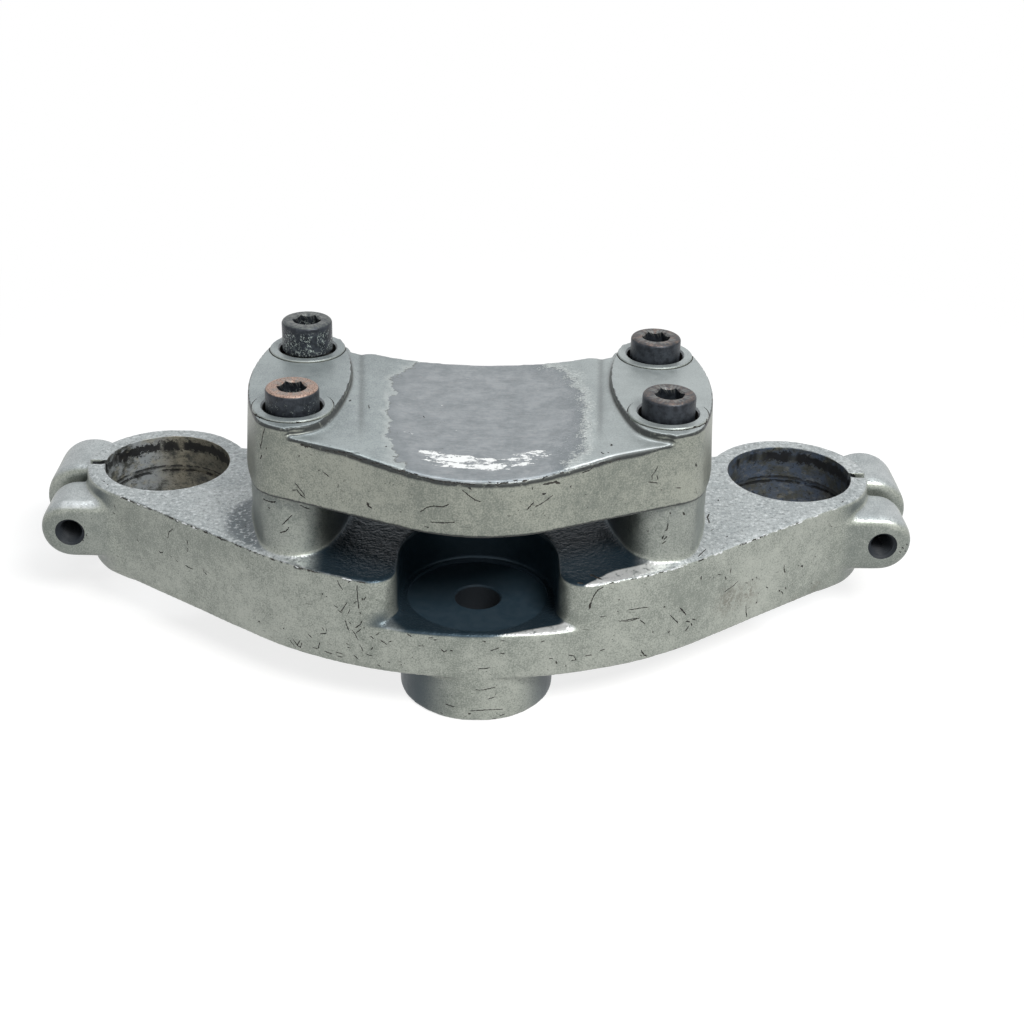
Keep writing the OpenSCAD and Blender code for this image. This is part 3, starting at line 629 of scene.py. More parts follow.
def make_clamp(finishes):
    o = welded_copy("handlebar_clamp", "cast_clamp")
    places = [(sx * SCREW_X, BAR_Y + sy * SCREW_DY) for sx, sy in SCREWS.values()]
    for x, y in places:
        boolean(o, "UNION", placed(cylinder(COUNTER_R + 0.5, PART_Z + 1, PAD_Z, 96), x, y, 0))
        boolean(o, "DIFFERENCE", placed(cylinder(RIM_R + 1, PAD_Z, PAD_Z + 3, 96), x, y, 0))
    remesh(o, 0.45)
    co = points_of(o.data)
    co[:, 2] += saddle_relief(co)
    set_points(o.data, co)
    smooth(o, 6)

    def soft_places(c):
        front = ramp(18 - c[:, 1], 0, 14) * ramp(c[:, 2], 74, 79) * ramp(52 - abs(c[:, 0]), 0, 6)
        underside = ramp(c[:, 2], PART_Z, PART_Z + 3)
        return front * underside

    smooth(o, 22, soft_places)
    uneven(o, 0.08, 13, 7)
    keep_inside(o, "handlebar_clamp")
    thin_out(o, 140000)
    give_slots(o, finishes)
    for x, y in places:
        inner = COUNTER_R - 1
        rim = lathe([
            (inner, PAD_Z - 2), (RIM_R, PAD_Z - 2), (RIM_R, PAD_Z + RIM_H - 0.3),
            (RIM_R - 0.3, PAD_Z + RIM_H), (inner, PAD_Z + RIM_H), (inner, PAD_Z - 2)], 96)
        groove = lathe([
            (RIM_R, PAD_Z + 0.6), (RIM_R + 0.05, PAD_Z - 0.22), (RIM_R + 0.3, PAD_Z - 0.22),
            (RIM_R + 0.5, PAD_Z + 0.6), (RIM_R, PAD_Z + 0.6)], 96)
        pocket = lathe([
            (0, PART_Z - 1), (SCREW_HOLE_R, PART_Z - 1), (SCREW_HOLE_R, COUNTER_Z), (COUNTER_R, COUNTER_Z),
            (COUNTER_R, PAD_Z + 2), (0, PAD_Z + 2)], 96)
        lead = lathe([
            (0, PAD_Z + RIM_H - 0.5), (COUNTER_R, PAD_Z + RIM_H - 0.5), (COUNTER_R + 1, PAD_Z + RIM_H + 0.5),
            (0, PAD_Z + RIM_H + 0.5)], 96)
        boolean(o, "UNION", placed(rim, x, y, 0))
        boolean(o, "DIFFERENCE", slotted(placed(groove, x, y, 0), CHIP),
                slotted(placed(lead, x, y, 0), MACHINED), slotted(placed(pocket, x, y, 0), CHIP))
    bar = placed(cylinder(BAR_R, -90, 90, 192), 0, BAR_Y, PART_Z, along((1, 0, 0)))
    boolean(o, "DIFFERENCE", slotted(bar, MACHINED))
    rng = random.Random(8)
    tree = search_tree("handlebar_clamp")
    chipped = rim_nicks(rng)
    for line, share in ((EDGE_LEFT, 0.9), (EDGE_RIGHT, 0.5)):
        chipped += ragged_line([seen_at(tree, u, v) for u, v in line], rng, share)
    wear(o, tree, CLAMP_MARKS, 6, chipped)
    shade(o)
    return o


def make_screw(node, finish):
    low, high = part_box(node)
    x, y = ((low + high) / 2 / MM).xy
    head_z = high.z / MM - HEAD_H
    r, edge, hex_r = HEAD_R, 1.1, HEX_AF / 2 / math.cos(math.pi / 6)
    rim = [(r - edge + edge * math.cos(t), HEAD_H - edge + edge * math.sin(t)) for t in np.linspace(0, 1.5, 8)]
    head = lathe([(0, 0), (r - 0.4, 0), (r, 0.4)] + rim + [(r - edge - 0.3, HEAD_H), (0, HEAD_H)], 96)
    hexagon = cylinder(hex_r, HEAD_H - HEX_DEPTH, HEAD_H + 1, 6)
    lead = lathe([
        (0, HEAD_H - 0.6), (HEX_AF / 2, HEAD_H - 0.6), (HEX_AF / 2 + 1.6, HEAD_H + 1), (0, HEAD_H + 1)], 64)
    drill = lathe([(0, HEAD_H - HEX_DEPTH - 1), (2, HEAD_H - HEX_DEPTH), (2, HEAD_H - HEX_DEPTH + 0.5),
                   (0, HEAD_H - HEX_DEPTH + 0.5)], 32)
    boolean(head, "UNION", threaded(SCREW_R - 0.9, -SCREW_LEN + 0.05, 0.5, SCREW_PITCH, 0.88))
    boolean(head, "DIFFERENCE", hexagon, lead, drill)
    head.name = head.data.name = node.replace("clamp_screw", "socket_screw")
    placed(head, x, y, head_z)
    give_slots(head, [finish])
    shade(head, 30)
    return head


def tone(r, g, b):
    """A colour that is written in sRGB steps of 255."""
    def line(c):
        c /= 255
        return c / 12.92 if c <= 0.04045 else ((c + 0.055) / 1.055) ** 2.4
    return line(r), line(g), line(b), 1


class Finish:
    """A node material whose masks are made in the part's own coordinates, in mm."""

    def __init__(self, name, metallic, rough):
        self.material = bpy.data.materials.new(name)
        self.material.use_nodes = True
        self.tree = self.material.node_tree
        self.shader = self.tree.nodes["Principled BSDF"]
        self.shader.inputs["Metallic"].default_value = metallic
        self.shader.inputs["Roughness"].default_value = rough
        coords = self.add("ShaderNodeTexCoord")
        self.mm = self.vector("SCALE", coords.outputs["Object"], scale=1 / MM)
        split = self.add("ShaderNodeSeparateXYZ", Vector=self.mm)
        self.x, self.y, self.z = split.outputs
        geometry = self.add("ShaderNodeNewGeometry")
        self.up = self.add("ShaderNodeSeparateXYZ", Vector=geometry.outputs["Normal"]).outputs[2]
        self.point = geometry.outputs["Pointiness"]
        self.normal = None

    def add(self, kind, **inputs):
        node = self.tree.nodes.new(kind)
        for name, value in inputs.items():
            self.plug(node.inputs[name], value)
        return node

    def plug(self, socket, value):
        if isinstance(value, bpy.types.NodeSocket):
            self.tree.links.new(value, socket)
        else:
            socket.default_value = value

    def vector(self, operation, a, b=None, scale=None):
        node = self.add("ShaderNodeVectorMath")
        node.operation = operation
        self.plug(node.inputs[0], a)
        if scale is not None:
            self.plug(node.inputs["Scale"], scale)
        if b is not None:
            self.plug(node.inputs[1], b)
        return node.outputs["Value" if operation in ("DISTANCE", "LENGTH") else "Vector"]

    def math(self, operation, a, b=0.0, clamp=False):
        node = self.add("ShaderNodeMath")
        node.operation = operation
        node.use_clamp = clamp
        self.plug(node.inputs[0], a)
        self.plug(node.inputs[1], b)
        return node.outputs[0]

    def times(self, first, *others):
        for other in others:
            first = self.math("MULTIPLY", first, other)
        return first

    def step(self, value, low, high):
        """0 below low, 1 above high, and smooth between them."""
        node = self.tree.nodes.new("ShaderNodeMapRange")
        node.interpolation_type = "SMOOTHSTEP"
        self.plug(node.inputs["Value"], value)
        node.inputs["From Min"].default_value = min(low, high)
        node.inputs["From Max"].default_value = max(low, high)
        node.inputs["To Min"].default_value = 0 if low < high else 1
        node.inputs["To Max"].default_value = 1 if low < high else 0
        return node.outputs["Result"]

    def noise(self, size, detail=2.0, rough=0.5, stretch=(1, 1, 1), seed=0.0, warp=0.0):
        place = self.vector("MULTIPLY_ADD", self.mm, tuple(1 / (size * s) for s in stretch))
        place.node.inputs[2].default_value = (seed, seed, seed)
        node = self.add("ShaderNodeTexNoise", Vector=place, Scale=1.0, Detail=detail, Roughness=rough,
                        Distortion=warp)
        return node.outputs[0]

    def spots(self, size, radius, seed=0.0):
        """Round spots of a radius, one in each cell of about a size."""
        place = self.vector("MULTIPLY_ADD", self.mm, (1 / size,) * 3)
        place.node.inputs[2].default_value = (seed, seed, seed)
        node = self.add("ShaderNodeTexVoronoi", Vector=place, Scale=1.0)
        return self.step(node.outputs["Distance"], radius / size * 1.25, radius / size * 0.75)

    def near(self, place, radius):
        """1 at a place and 0 at a radius from it."""
        return self.step(self.vector("DISTANCE", self.mm, place), radius, 0)

    def from_axis(self, x, y):
        """Distance from an upright axis."""
        flat = self.vector("MULTIPLY", self.mm, (1, 1, 0))
        return self.vector("DISTANCE", flat, (x, y, 0))

    def from_axis_pair(self, x, y):
        """Distance from the nearer of two upright axes, at x and at -x."""
        flat = self.add("ShaderNodeCombineXYZ", X=self.math("ABSOLUTE", self.x), Y=self.y).outputs[0]
        return self.vector("DISTANCE", flat, (x, y, 0))

    def mix(self, factor, a, b):
        node = self.tree.nodes.new("ShaderNodeMix")
        node.data_type = "RGBA"
        for index, value in ((0, factor), (6, a), (7, b)):
            self.plug(node.inputs[index], value)
        return node.outputs[2]

    def bump(self, height, depth, strength=1.0):
        node = self.add("ShaderNodeBump", Height=height, Strength=strength, Distance=depth * MM)
        if self.normal is not None:
            self.plug(node.inputs["Normal"], self.normal)
        self.normal = node.outputs[0]

    def done(self, colour=None, rough=None, metallic=None):
        given = {"Base Color": colour, "Roughness": rough, "Metallic": metallic, "Normal": self.normal}
        for name, value in given.items():
            if value is not None:
                self.plug(self.shader.inputs[name], value)
        return self.material


# Grime on the yoke's front: place in mm and radius
SMUDGES = (
    ((112.5, 29.5, 17.8), 4.0),
    ((104.5, 24.0, 16.3), 3.0),
    ((86.0, 11.0, 26.0), 7.0),
    ((79.0, 6.0, 27.0), 9.0),
)


def cast_paint(name, sides, tops, worn=False):
    """Silver-grey paint on a casting, over the yoke or, worn through, over the clamp,
    with the dark and light tone of its upright sides and of its tops; the tops are
    painted lighter and bluer than the sides as painted light, and on the yoke it also
    carries painted shade, a painted shadow and painted highlights."""
    f = Finish(name, PAINT_METALLIC, PAINT_ROUGH)
    wide, middle, fine = f.noise(26, 3, 0.6), f.noise(3.2, 4, 0.65, seed=5), f.noise(0.45, 2, 0.6, seed=9)
    shade_of = f.math("ADD", f.times(wide, 0.32), f.math("ADD", f.times(middle, 0.23), f.times(fine, 0.45)))
    facing_up = f.step(f.up, 0.45, 0.85)
    # Painted light: tops painted lighter and bluer than the upright sides
    side = f.mix(f.step(shade_of, 0.38, 0.62), *sides)
    top = f.mix(f.step(shade_of, 0.38, 0.62), *tops)
    colour = f.mix(facing_up, side, top)
    on_side = f.step(f.up, 0.35, 0.1)
    streaks = f.step(f.noise(0.8, 1, 0.5, (1, 1, 40), 3), 0.45, 0.75)
    colour = f.mix(f.times(streaks, on_side, 0.1), colour, STREAK)
    dashes = f.times(f.step(f.noise(0.45, 2, 0.6, (5, 5, 1), 7), 0.645, 0.7), on_side,
                     f.step(f.noise(9, 2, 0.5, seed=2), 0.42, 0.58))
    colour = f.mix(f.times(dashes, 0.5), colour, DIRT)
    specks = f.times(f.spots(1.9, 0.17, 4), f.step(f.noise(11, 2, 0.6, seed=13), 0.48, 0.6))
    colour = f.mix(f.times(specks, 0.85), colour, DIRT)
    colour = f.mix(f.times(f.step(f.point, 0.5, 0.44), 0.5), colour, DIRT)
    joint = f.math("ADD", f.z, f.times(f.math("SUBTRACT", f.noise(1.5, 3, 0.7, seed=14), 0.5), 0.9))
    joint = f.times(f.step(joint, PART_Z - 0.9, PART_Z - 0.4), f.step(joint, PART_Z + 1.3, PART_Z + 0.8),
                    on_side)
    colour = f.mix(f.times(joint, 0.9), colour, JOINT_AND_SHADE_DARK)
    rough = f.math("ADD", f.math("MULTIPLY", middle, 0.2), PAINT_ROUGH - 0.1)
    f.bump(f.noise(14, 2, 0.5, seed=6), 0.35, 0.5)
    if worn:
        colour, rough = worn_saddle(f, colour, rough)
        return f.done(colour, rough)
    for place, radius in SMUDGES:
        blot = f.times(f.near(place, radius), f.step(f.noise(1.6, 4, 0.7, seed=radius), 0.4, 0.6))
        colour = f.mix(f.times(blot, 0.55), colour, GRIME)
    # Painted shade, a painted shadow and painted highlights of the yoke, with dark patches
    for shade_colour, amount, where in yoke_painted_light_and_patches(f, on_side, facing_up):
        colour = f.mix(f.times(where, amount), colour, shade_colour)
    peel = f.noise(1.25, 2, 0.6, seed=8)
    rough_top = f.times(facing_up, f.step(f.z, 43, 45))
    colour = f.mix(f.times(f.step(peel, 0.54, 0.68), rough_top, 0.5), colour, PEEL_AND_HIGHLIGHT_WHITE)
    colour = f.mix(f.times(f.step(peel, 0.46, 0.32), rough_top, 0.45), colour, GRIT)
    # Behind the round front wall: painted shade under the clamp, and a painted highlight along the lip
    behind = f.math("SUBTRACT", FRONT_R, f.from_axis(0, FRONT_Y))
    top_lip = f.math("ADD", f.times(f.step(f.x, 29, 42), 5.4), -0.3)
    floor_lip = f.math("ADD", f.times(f.step(f.x, 0, 26), 3.9), -0.8)
    is_floor = f.step(f.z, 42, 38)
    lip = f.math("ADD", f.times(is_floor, floor_lip), f.times(f.math("SUBTRACT", 1.0, is_floor), top_lip))
    within = f.math("SUBTRACT", behind, lip)
    not_up = f.math("SUBTRACT", 1.0, facing_up)
    lip_up = f.step(f.up, 0.2, 0.6)
    deep = f.math("MAXIMUM", f.times(lip_up, f.step(within, -0.4, 0.6)),
                  f.times(not_up, f.step(behind, 3, 12)))
    recess = f.times(f.step(f.from_axis(0, 0), 34, 29), f.step(f.z, 28.5, 30), f.step(f.z, 45.6, 44.8))
    side_x = f.math("ABSOLUTE", f.x)
    top_x, wall_x = f.times(lip_up, f.step(side_x, 54, 46)), f.times(not_up, f.step(side_x, 47, 41))
    sheltered = f.times(f.math("MAXIMUM", top_x, wall_x), f.step(f.y, 80, 60), f.step(f.z, 44, 45.5))
    # Painted shade in the recess and on the yoke's top under the clamp
    colour = f.mix(f.times(f.math("MAXIMUM", recess, sheltered), deep, RECESS_SHADE_AMOUNT), colour, SHADE_BLUE)
    # Painted highlight: white strip along the front lip, right of the middle
    rub = f.times(f.step(within, 0.6, -0.4), f.step(behind, -0.1, 0.3), facing_up, f.step(f.x, -3, 6),
                  f.step(f.x, 59, 55), f.math("MAXIMUM", is_floor, f.step(f.x, 28, 32)),
                  f.math("MAXIMUM", f.math("SUBTRACT", 1.0, is_floor), f.step(f.x, 36, 33)))
    colour = f.mix(f.times(rub, f.step(f.noise(2, 3, 0.6, seed=34), 0.3, 0.5)), colour, LIP_HIGHLIGHT_WHITE)
    f.bump(peel, 0.32, facing_up)
    f.bump(f.noise(0.35, 2, 0.6, seed=12), 0.05, 0.6)
    return f.done(colour, rough)


def yoke_painted_light_and_patches(f, on_side, facing_up):
    """Dark and bright places of the yoke, each with its colour, amount and mask:
    painted shade low on the hub's sides, beside the lugs, in the recess's left corner
    and along the left arm's front top edge, a painted shadow beside the left riser, a
    painted highlight on the left lug, dark smudges below the joint, and darker risers
    and arm ends.
    """
    low = f.times(f.step(f.z, 14.4, 13), on_side)
    left_edge_shade = f.times(f.step(f.x, -30, -40), f.step(f.y, 38, 34), f.step(f.z, 44.4, 45.3),
                       f.step(f.z, 46.7, 46.3), f.step(f.point, 0.515, 0.55))
    glint = f.times(f.step(f.x, -137.5, -134.5), f.step(f.x, -124, -127), f.step(f.y, 36.8, 37.5),
                    f.step(f.y, 40.6, 39.4), f.step(f.z, 38, 39))
    return (
        # Painted shade low on the hub's left and right sides
        (SHADE_AND_PATCH_BLUE, 0.96, f.times(low, f.step(f.x, -4, -19))),
        (SHADE_AND_PATCH_BLUE, 0.92, f.times(low, f.step(f.x, 11, 23))),
        (SHADE_AND_PATCH_BLUE, 0.22, f.times(on_side, f.step(f.z, 45, 51))),
        (SHADE_AND_PATCH_BLUE, 0.3, f.times(f.step(f.z, PART_Z - 8, PART_Z - 1),
                             f.step(f.noise(3, 4, 0.7, seed=15), 0.42, 0.6))),
        (SHADE_AND_PATCH_BLUE, 0.25, f.times(on_side, f.step(f.math("ABSOLUTE", f.x), 118, 124))),
        # Painted shade on the ring walls beside the lugs, heavier on the left
        (SHADE_AND_PATCH_BLUE, 0.65, f.times(f.near((-122.5, 40, 43), 9), on_side)),
        (SHADE_AND_PATCH_BLUE, 0.4, f.times(f.near((122.5, 40, 43), 9), on_side)),
        # Painted shadow of the left riser on the left arm's top
        (SHADE_AND_PATCH_BLUE, 0.75, f.times(f.step(f.from_axis(-58, 18), 23, 19), facing_up, f.step(f.z, 44, 45))),
        # Painted shade over the recess's left front corner
        (SHADE_AND_PATCH_BLUE, 0.95, f.times(f.near((-29, -18.3, 31.3), 6), f.step(f.z, 30, 30.8))),
        # Painted shade along the left arm's front top edge, broken by noise
        (JOINT_AND_SHADE_DARK, 0.85, f.times(left_edge_shade, f.step(f.noise(4, 3, 0.6, seed=16), 0.3, 0.45))),
        # Painted highlight on the left lug's front top edge
        (PEEL_AND_HIGHLIGHT_WHITE, 0.55, f.times(glint, f.step(f.noise(2, 3, 0.6, seed=17), 0.3, 0.5))),
    )


def worn_saddle(f, colour, rough):
    """Wear of the clamp: the saddle's paint is gone in an oval that is open to the
    front, with white flakes along its front. The edges are dark with a painted dark
    reflection band, the front edge has a painted highlight, the right-hand tops are
    painted lighter and the valley beside each pad has painted shade."""
    side_x = f.math("ABSOLUTE", f.x)
    dark_side = f.times(f.step(f.up, 0.08, 0.2), f.step(f.up, 0.94, 0.84))
    front = f.times(dark_side, f.step(f.z, 81, 82), f.step(f.z, 87.4, 86.6), f.step(f.y, 0, -4),
                    f.step(side_x, 57, 55))
    pads = f.times(dark_side, f.step(f.z, 86.6, 87.4), f.step(f.z, 89.4, 89.1))
    # Painted dark reflection band on the saddle's rounded front edge and the pads' upright edges
    dark_edge_band = f.math("MAXIMUM", front, pads)
    colour = f.mix(f.times(dark_edge_band, f.step(f.noise(2.2, 4, 0.7, seed=33), 0.2, 0.45), 0.92), colour, JOINT_AND_SHADE_DARK)
    # Painted highlight along the top of the saddle's front edge, fading out left of the middle
    edge_highlight = f.times(f.step(f.up, 0.86, 0.93), f.step(f.up, 0.985, 0.96), f.step(f.y, 0, -4),
                       f.step(f.z, 81, 82), f.step(f.z, 87, 86), f.step(f.x, -18, 0))
    colour = f.mix(f.times(edge_highlight, 0.7), colour, PEEL_AND_HIGHLIGHT_WHITE)
    # Painted light: tops on the right painted lighter
    colour = f.mix(f.times(f.step(f.up, 0.6, 0.9), f.step(f.x, 5, 50), 0.22), colour, PALE_WEAR_AND_LIGHT)
    # Painted shade in the shallow valley beside each pad
    valley = f.math("SUBTRACT", side_x, f.math("ADD", f.times(f.y, 0.065), 35.1))
    valley = f.times(f.step(valley, -1.8, 0), f.step(valley, 1.6, 0), f.step(f.y, -12, 14),
                     f.step(f.z, 84, 85))
    colour = f.mix(f.times(valley, 0.35), colour, JOINT_AND_SHADE_DARK)
    on_top = f.times(f.step(f.up, 0.6, 0.8), f.step(f.z, 81, 82))
    spread = f.step(f.x, -10, 20)
    grain = f.math("SUBTRACT", f.noise(0.55, 3, 0.75, seed=22), 0.5)
    warp = f.math("ADD", f.times(f.math("SUBTRACT", f.noise(8, 4, 0.65, seed=21), 0.5), 1.0),
                  f.times(grain, f.math("ADD", f.times(spread, 0.8), 0.25)))
    across = f.math("POWER", f.math("ABSOLUTE", f.math("DIVIDE", f.math("SUBTRACT", f.x, 1.6), 29.5)), 2.6)
    ahead = f.math("SUBTRACT", f.y, 24.0)
    length = f.math("ADD", 38.0, f.times(f.step(ahead, 1, -1), 24.0))
    along_y = f.math("POWER", f.math("ABSOLUTE", f.math("DIVIDE", ahead, length)), 2.6)
    reach = f.math("ADD", f.math("ADD", across, along_y), warp)
    bare = f.times(f.step(reach, 1.02, 0.98), on_top)
    rim = f.times(f.step(reach, 1.3, 1.0), on_top)
    metal = f.mix(f.step(f.noise(7, 5, 0.75, seed=23), 0.3, 0.7), BARE_DARK, BARE_LIGHT)
    metal = f.mix(f.times(f.step(f.noise(1.1, 4, 0.7, seed=24), 0.5, 0.75), 0.35), metal, BARE_PINK)
    metal = f.mix(f.times(f.step(f.noise(0.4, 2, 0.6, (14, 1, 1), 25), 0.55, 0.7), 0.35), metal, BARE_LINE)
    rimward = f.times(f.step(reach, 0.5, 0.95), f.math("ADD", f.times(spread, 0.4), 0.4))
    metal = f.mix(rimward, metal, BARE_RIM)
    colour = f.mix(f.times(rim, 0.35), colour, PALE_WEAR_AND_LIGHT)
    colour = f.mix(bare, colour, metal)
    line = f.times(f.step(reach, 0.95, 1.0), f.step(reach, 1.05, 1.01), on_top,
                   f.step(f.noise(2.5, 2, 0.5, seed=29), 0.42, 0.6))
    colour = f.mix(f.times(line, 0.6), colour, DIRT)
    crumbs = f.times(f.step(reach, 0.8, 0.98), f.step(reach, 1.4, 1.1), f.step(f.x, 6, 16), on_top,
                     f.step(f.noise(0.7, 4, 0.8, (1.6, 1, 1), 35), 0.51, 0.56))
    colour = f.mix(f.times(crumbs, 0.8), colour, PALE_WEAR_AND_LIGHT)
    arc = f.from_axis(0, 14.4)
    strip = f.times(f.step(arc, 23, 28), f.step(arc, 37.5, 33), f.step(f.y, -3, -10),
                    f.step(f.x, -21, -12), f.step(f.x, 31, 18))
    scatter = f.math("ADD", f.times(f.noise(1.3, 5, 0.7, (2.0, 1, 1), 26), 0.55),
                     f.times(f.noise(6, 2, 0.5, (1.6, 0.7, 1), 27), 0.45))
    flaky = f.math("SUBTRACT", f.math("ADD", scatter, f.times(strip, 0.2)),
                   f.times(f.step(f.x, -4, 14), 0.05))
    flake = f.times(f.step(flaky, 0.67, 0.69), on_top)
    colour = f.mix(flake, colour, FLAKE)
    f.bump(f.math("SUBTRACT", flake, bare), 0.06, 0.8)
    f.bump(f.noise(0.5, 3, 0.6, (10, 1, 1), 28), 0.03, bare)
    rough = f.math("ADD", rough, f.times(f.math("SUBTRACT", flake, bare), 0.08))
    return colour, rough


def machined_metal(name):
    """Turned or milled bare aluminium, with painted shade on the recess's seat and
    near-black painted shade in the lugs' bores and the bolt hole.
    """
    f = Finish(name, 0.8, 0.4)
    mottle = f.noise(2.4, 4, 0.65, seed=31)
    colour = f.mix(f.step(mottle, 0.35, 0.65), METAL_DARK, METAL_LIGHT)
    # Painted shade on the recess's seat
    seat = f.times(f.step(f.from_axis(0, 0), 24, 22), f.step(f.z, 17, 21), f.step(f.z, 60, 50))
    colour = f.mix(f.times(seat, RECESS_SHADE_AMOUNT), colour, SHADE_BLUE)
    # Near-black painted shade in the lugs' bores and the bolt hole
    tapped = f.step(f.math("ABSOLUTE", f.x), 120, 126)
    hole = f.times(f.step(f.from_axis(0, 0), BOLT_R + 1, BOLT_R + 0.6),
                   f.step(f.z, SEAT_Z - 0.2, SEAT_Z - 0.8))
    colour = f.mix(f.math("MAXIMUM", tapped, hole), colour, HOLE_SHADE)
    dull = f.math("SUBTRACT", 1.0, f.math("MAXIMUM", f.math("MAXIMUM", tapped, hole), f.times(seat, 0.7)))
    rings = f.noise(0.3, 2, 0.5, (12, 12, 1), 32)
    f.bump(rings, 0.03, 0.6)
    rough = f.math("ADD", f.math("MULTIPLY", mottle, 0.3), 0.25)
    rough = f.math("ADD", rough, f.math("SUBTRACT", 0.3, f.times(dull, 0.3)))
    return f.done(colour, rough, f.times(dull, 0.8))


def chip_dirt(name):
    """Dark floor of a scratch or chip."""
    f = Finish(name, 0.1, 0.7)
    return f.done(f.mix(f.step(f.noise(0.6, 2, 0.5, seed=41), 0.4, 0.6), CHIP_DARK, CHIP_BROWN))


def nick_metal(name):
    """Bright bare metal of a fresh nick."""
    f = Finish(name, 0.6, 0.35)
    return f.done(f.mix(f.noise(0.5, 2, 0.5, seed=42), NICK_GREY, NICK_WHITE))


def fork_bore_grime_and_slot_shade(name):
    """Stained bore of a fork ring: olive mottling, a dark chipped band under the
    rim and dark rub lines, heavier on the right, and painted shade, near black, on
    the walls of the pinch slot."""
    f = Finish(name, 0.25, 0.5)
    right = f.step(f.x, -20, 20)
    stain = f.math("ADD", f.noise(6, 5, 0.75, (1, 1, 0.7), 51), f.times(right, -0.03))
    left_metal = f.mix(f.step(f.x, -116, -104), BORE_GREY, BORE_OLIVE)
    colour = f.mix(f.step(stain, 0.36, 0.6), BORE_DARK, f.mix(right, left_metal, BORE_BLUE))
    pale = f.times(f.step(f.noise(3.5, 4, 0.7, (1, 1, 0.6), 52), 0.5, 0.7), 0.7)
    pale = f.times(pale, f.math("SUBTRACT", 1.0, f.times(right, 0.65)))
    colour = f.mix(pale, colour, BORE_PALE)
    ragged = f.math("ADD", f.z, f.times(f.math("SUBTRACT", f.noise(2.4, 6, 0.8, seed=53), 0.5), 9.0))
    broken = f.step(f.noise(9, 3, 0.6, (1, 1, 3), 55), 0.36, 0.5)
    band = f.times(f.step(ragged, 40.6, 41.2), f.step(ragged, 44.6, 44.0), broken)
    colour = f.mix(f.times(band, 0.95), colour, BORE_BLACK)
    wave = f.math("ADD", f.z, f.times(f.math("SUBTRACT", f.noise(1.6, 4, 0.7, seed=56), 0.5), 1.2))
    rings = f.math("MAXIMUM", f.times(f.step(wave, 34.3, 34.6), f.step(wave, 35.3, 35.0)),
                   f.times(f.step(wave, 32.4, 32.7), f.step(wave, 33.5, 33.2)))
    colour = f.mix(f.times(rings, f.step(f.noise(3, 3, 0.6, seed=57), 0.38, 0.5), 0.85), colour, BORE_BLACK)
    chips = f.step(f.noise(1.4, 6, 0.85, seed=54), 0.56, 0.6)
    colour = f.mix(f.times(chips, f.math("ADD", f.times(right, 0.15), 0.65)), colour, BORE_BLACK)
    # Painted shade: the pinch slot's walls near black
    slot = f.step(f.from_axis_pair(FORK_X, FORK_Y), FORK_R + 0.8, FORK_R + 1.1)
    colour = f.mix(f.times(slot, 0.85), colour, BORE_BLACK)
    f.bump(f.noise(1.4, 6, 0.85, seed=54), 0.12, 0.6)
    return f.done(colour, f.math("ADD", f.math("MULTIPLY", stain, 0.35), 0.3))


def black_oxide(name, top_z, rust=0.0, specks=0.0):
    """Black oxide on a screw whose head ends at top_z, with rust and pale specks."""
    f = Finish(name, 0.55, 0.42)
    mottle = f.noise(1.8, 4, 0.65, seed=61)
    colour = f.mix(f.step(mottle, 0.35, 0.65), OXIDE_DARK, OXIDE_LIGHT)
    crown = f.times(f.step(f.z, top_z - 0.9, top_z - 0.3), f.step(f.up, 0.5, 0.8))
    worn = OXIDE_BROWN if rust else OXIDE_GREY
    dull = f.mix(f.step(f.noise(0.8, 4, 0.7, seed=62), 0.35, 0.65), OXIDE_LIGHT, worn)
    colour = f.mix(f.times(crown, 0.8), colour, dull)
    copper = f.mix(f.step(f.noise(0.5, 4, 0.7, seed=66), 0.35, 0.6), RUST_DARK, RUST_LIGHT)
    amount = f.math("ADD", f.step(f.noise(2.5, 3, 0.6, seed=63), 0.35, 0.6), 2 * rust - 1, clamp=True)
    colour = f.mix(f.times(crown, amount), colour, copper)
    rub = f.times(f.step(f.point, 0.53, 0.6), f.step(f.z, top_z - 3, top_z - 1))
    colour = f.mix(f.times(rub, 0.5), colour, OXIDE_RUB)
    below = f.step(f.z, top_z - 1.2, top_z - 3.0)
    rash = f.times(f.step(f.noise(0.65, 5, 0.8, seed=64), 0.62 - 0.1 * specks, 0.66 - 0.1 * specks), below)
    patch = f.step(f.noise(3.2, 2, 0.5, seed=65), 0.62 - 0.3 * specks, 0.7 - 0.3 * specks)
    colour = f.mix(f.times(rash, patch, min(1.0, 0.25 + specks)), colour, SALT)
    f.bump(f.noise(0.45, 4, 0.75, seed=64), 0.08, 0.7)
    return f.done(colour, f.math("ADD", f.math("MULTIPLY", mottle, 0.3), 0.28))


# Colours and gloss, in sRGB steps
PAINT_METALLIC, PAINT_ROUGH = 0.55, 0.4
# Upright sides and tops of the paint, the tops painted lighter and bluer as painted light
YOKE_SHADED_SIDES = tone(128, 134, 127), tone(176, 180, 172)
YOKE_LIT_TOPS = tone(144, 151, 153), tone(184, 189, 190)
CLAMP_SHADED_SIDES = tone(116, 122, 115), tone(162, 165, 155)
CLAMP_LIT_TOPS = tone(126, 134, 136), tone(156, 164, 165)
# Round front wall of the yoke, in plan
FRONT_Y, FRONT_R = 93.0, 116.4
# Painted highlight along the recess's lip
LIP_HIGHLIGHT_WHITE = tone(246, 248, 249)
# Dark grit of the orange peel; dark of the joint line, of painted shade and of a painted dark reflection band
# on edges
GRIT, JOINT_AND_SHADE_DARK = tone(84, 88, 88), tone(42, 46, 48)
STREAK = tone(160, 163, 156)
DIRT, GRIME = tone(62, 62, 56), tone(92, 84, 72)
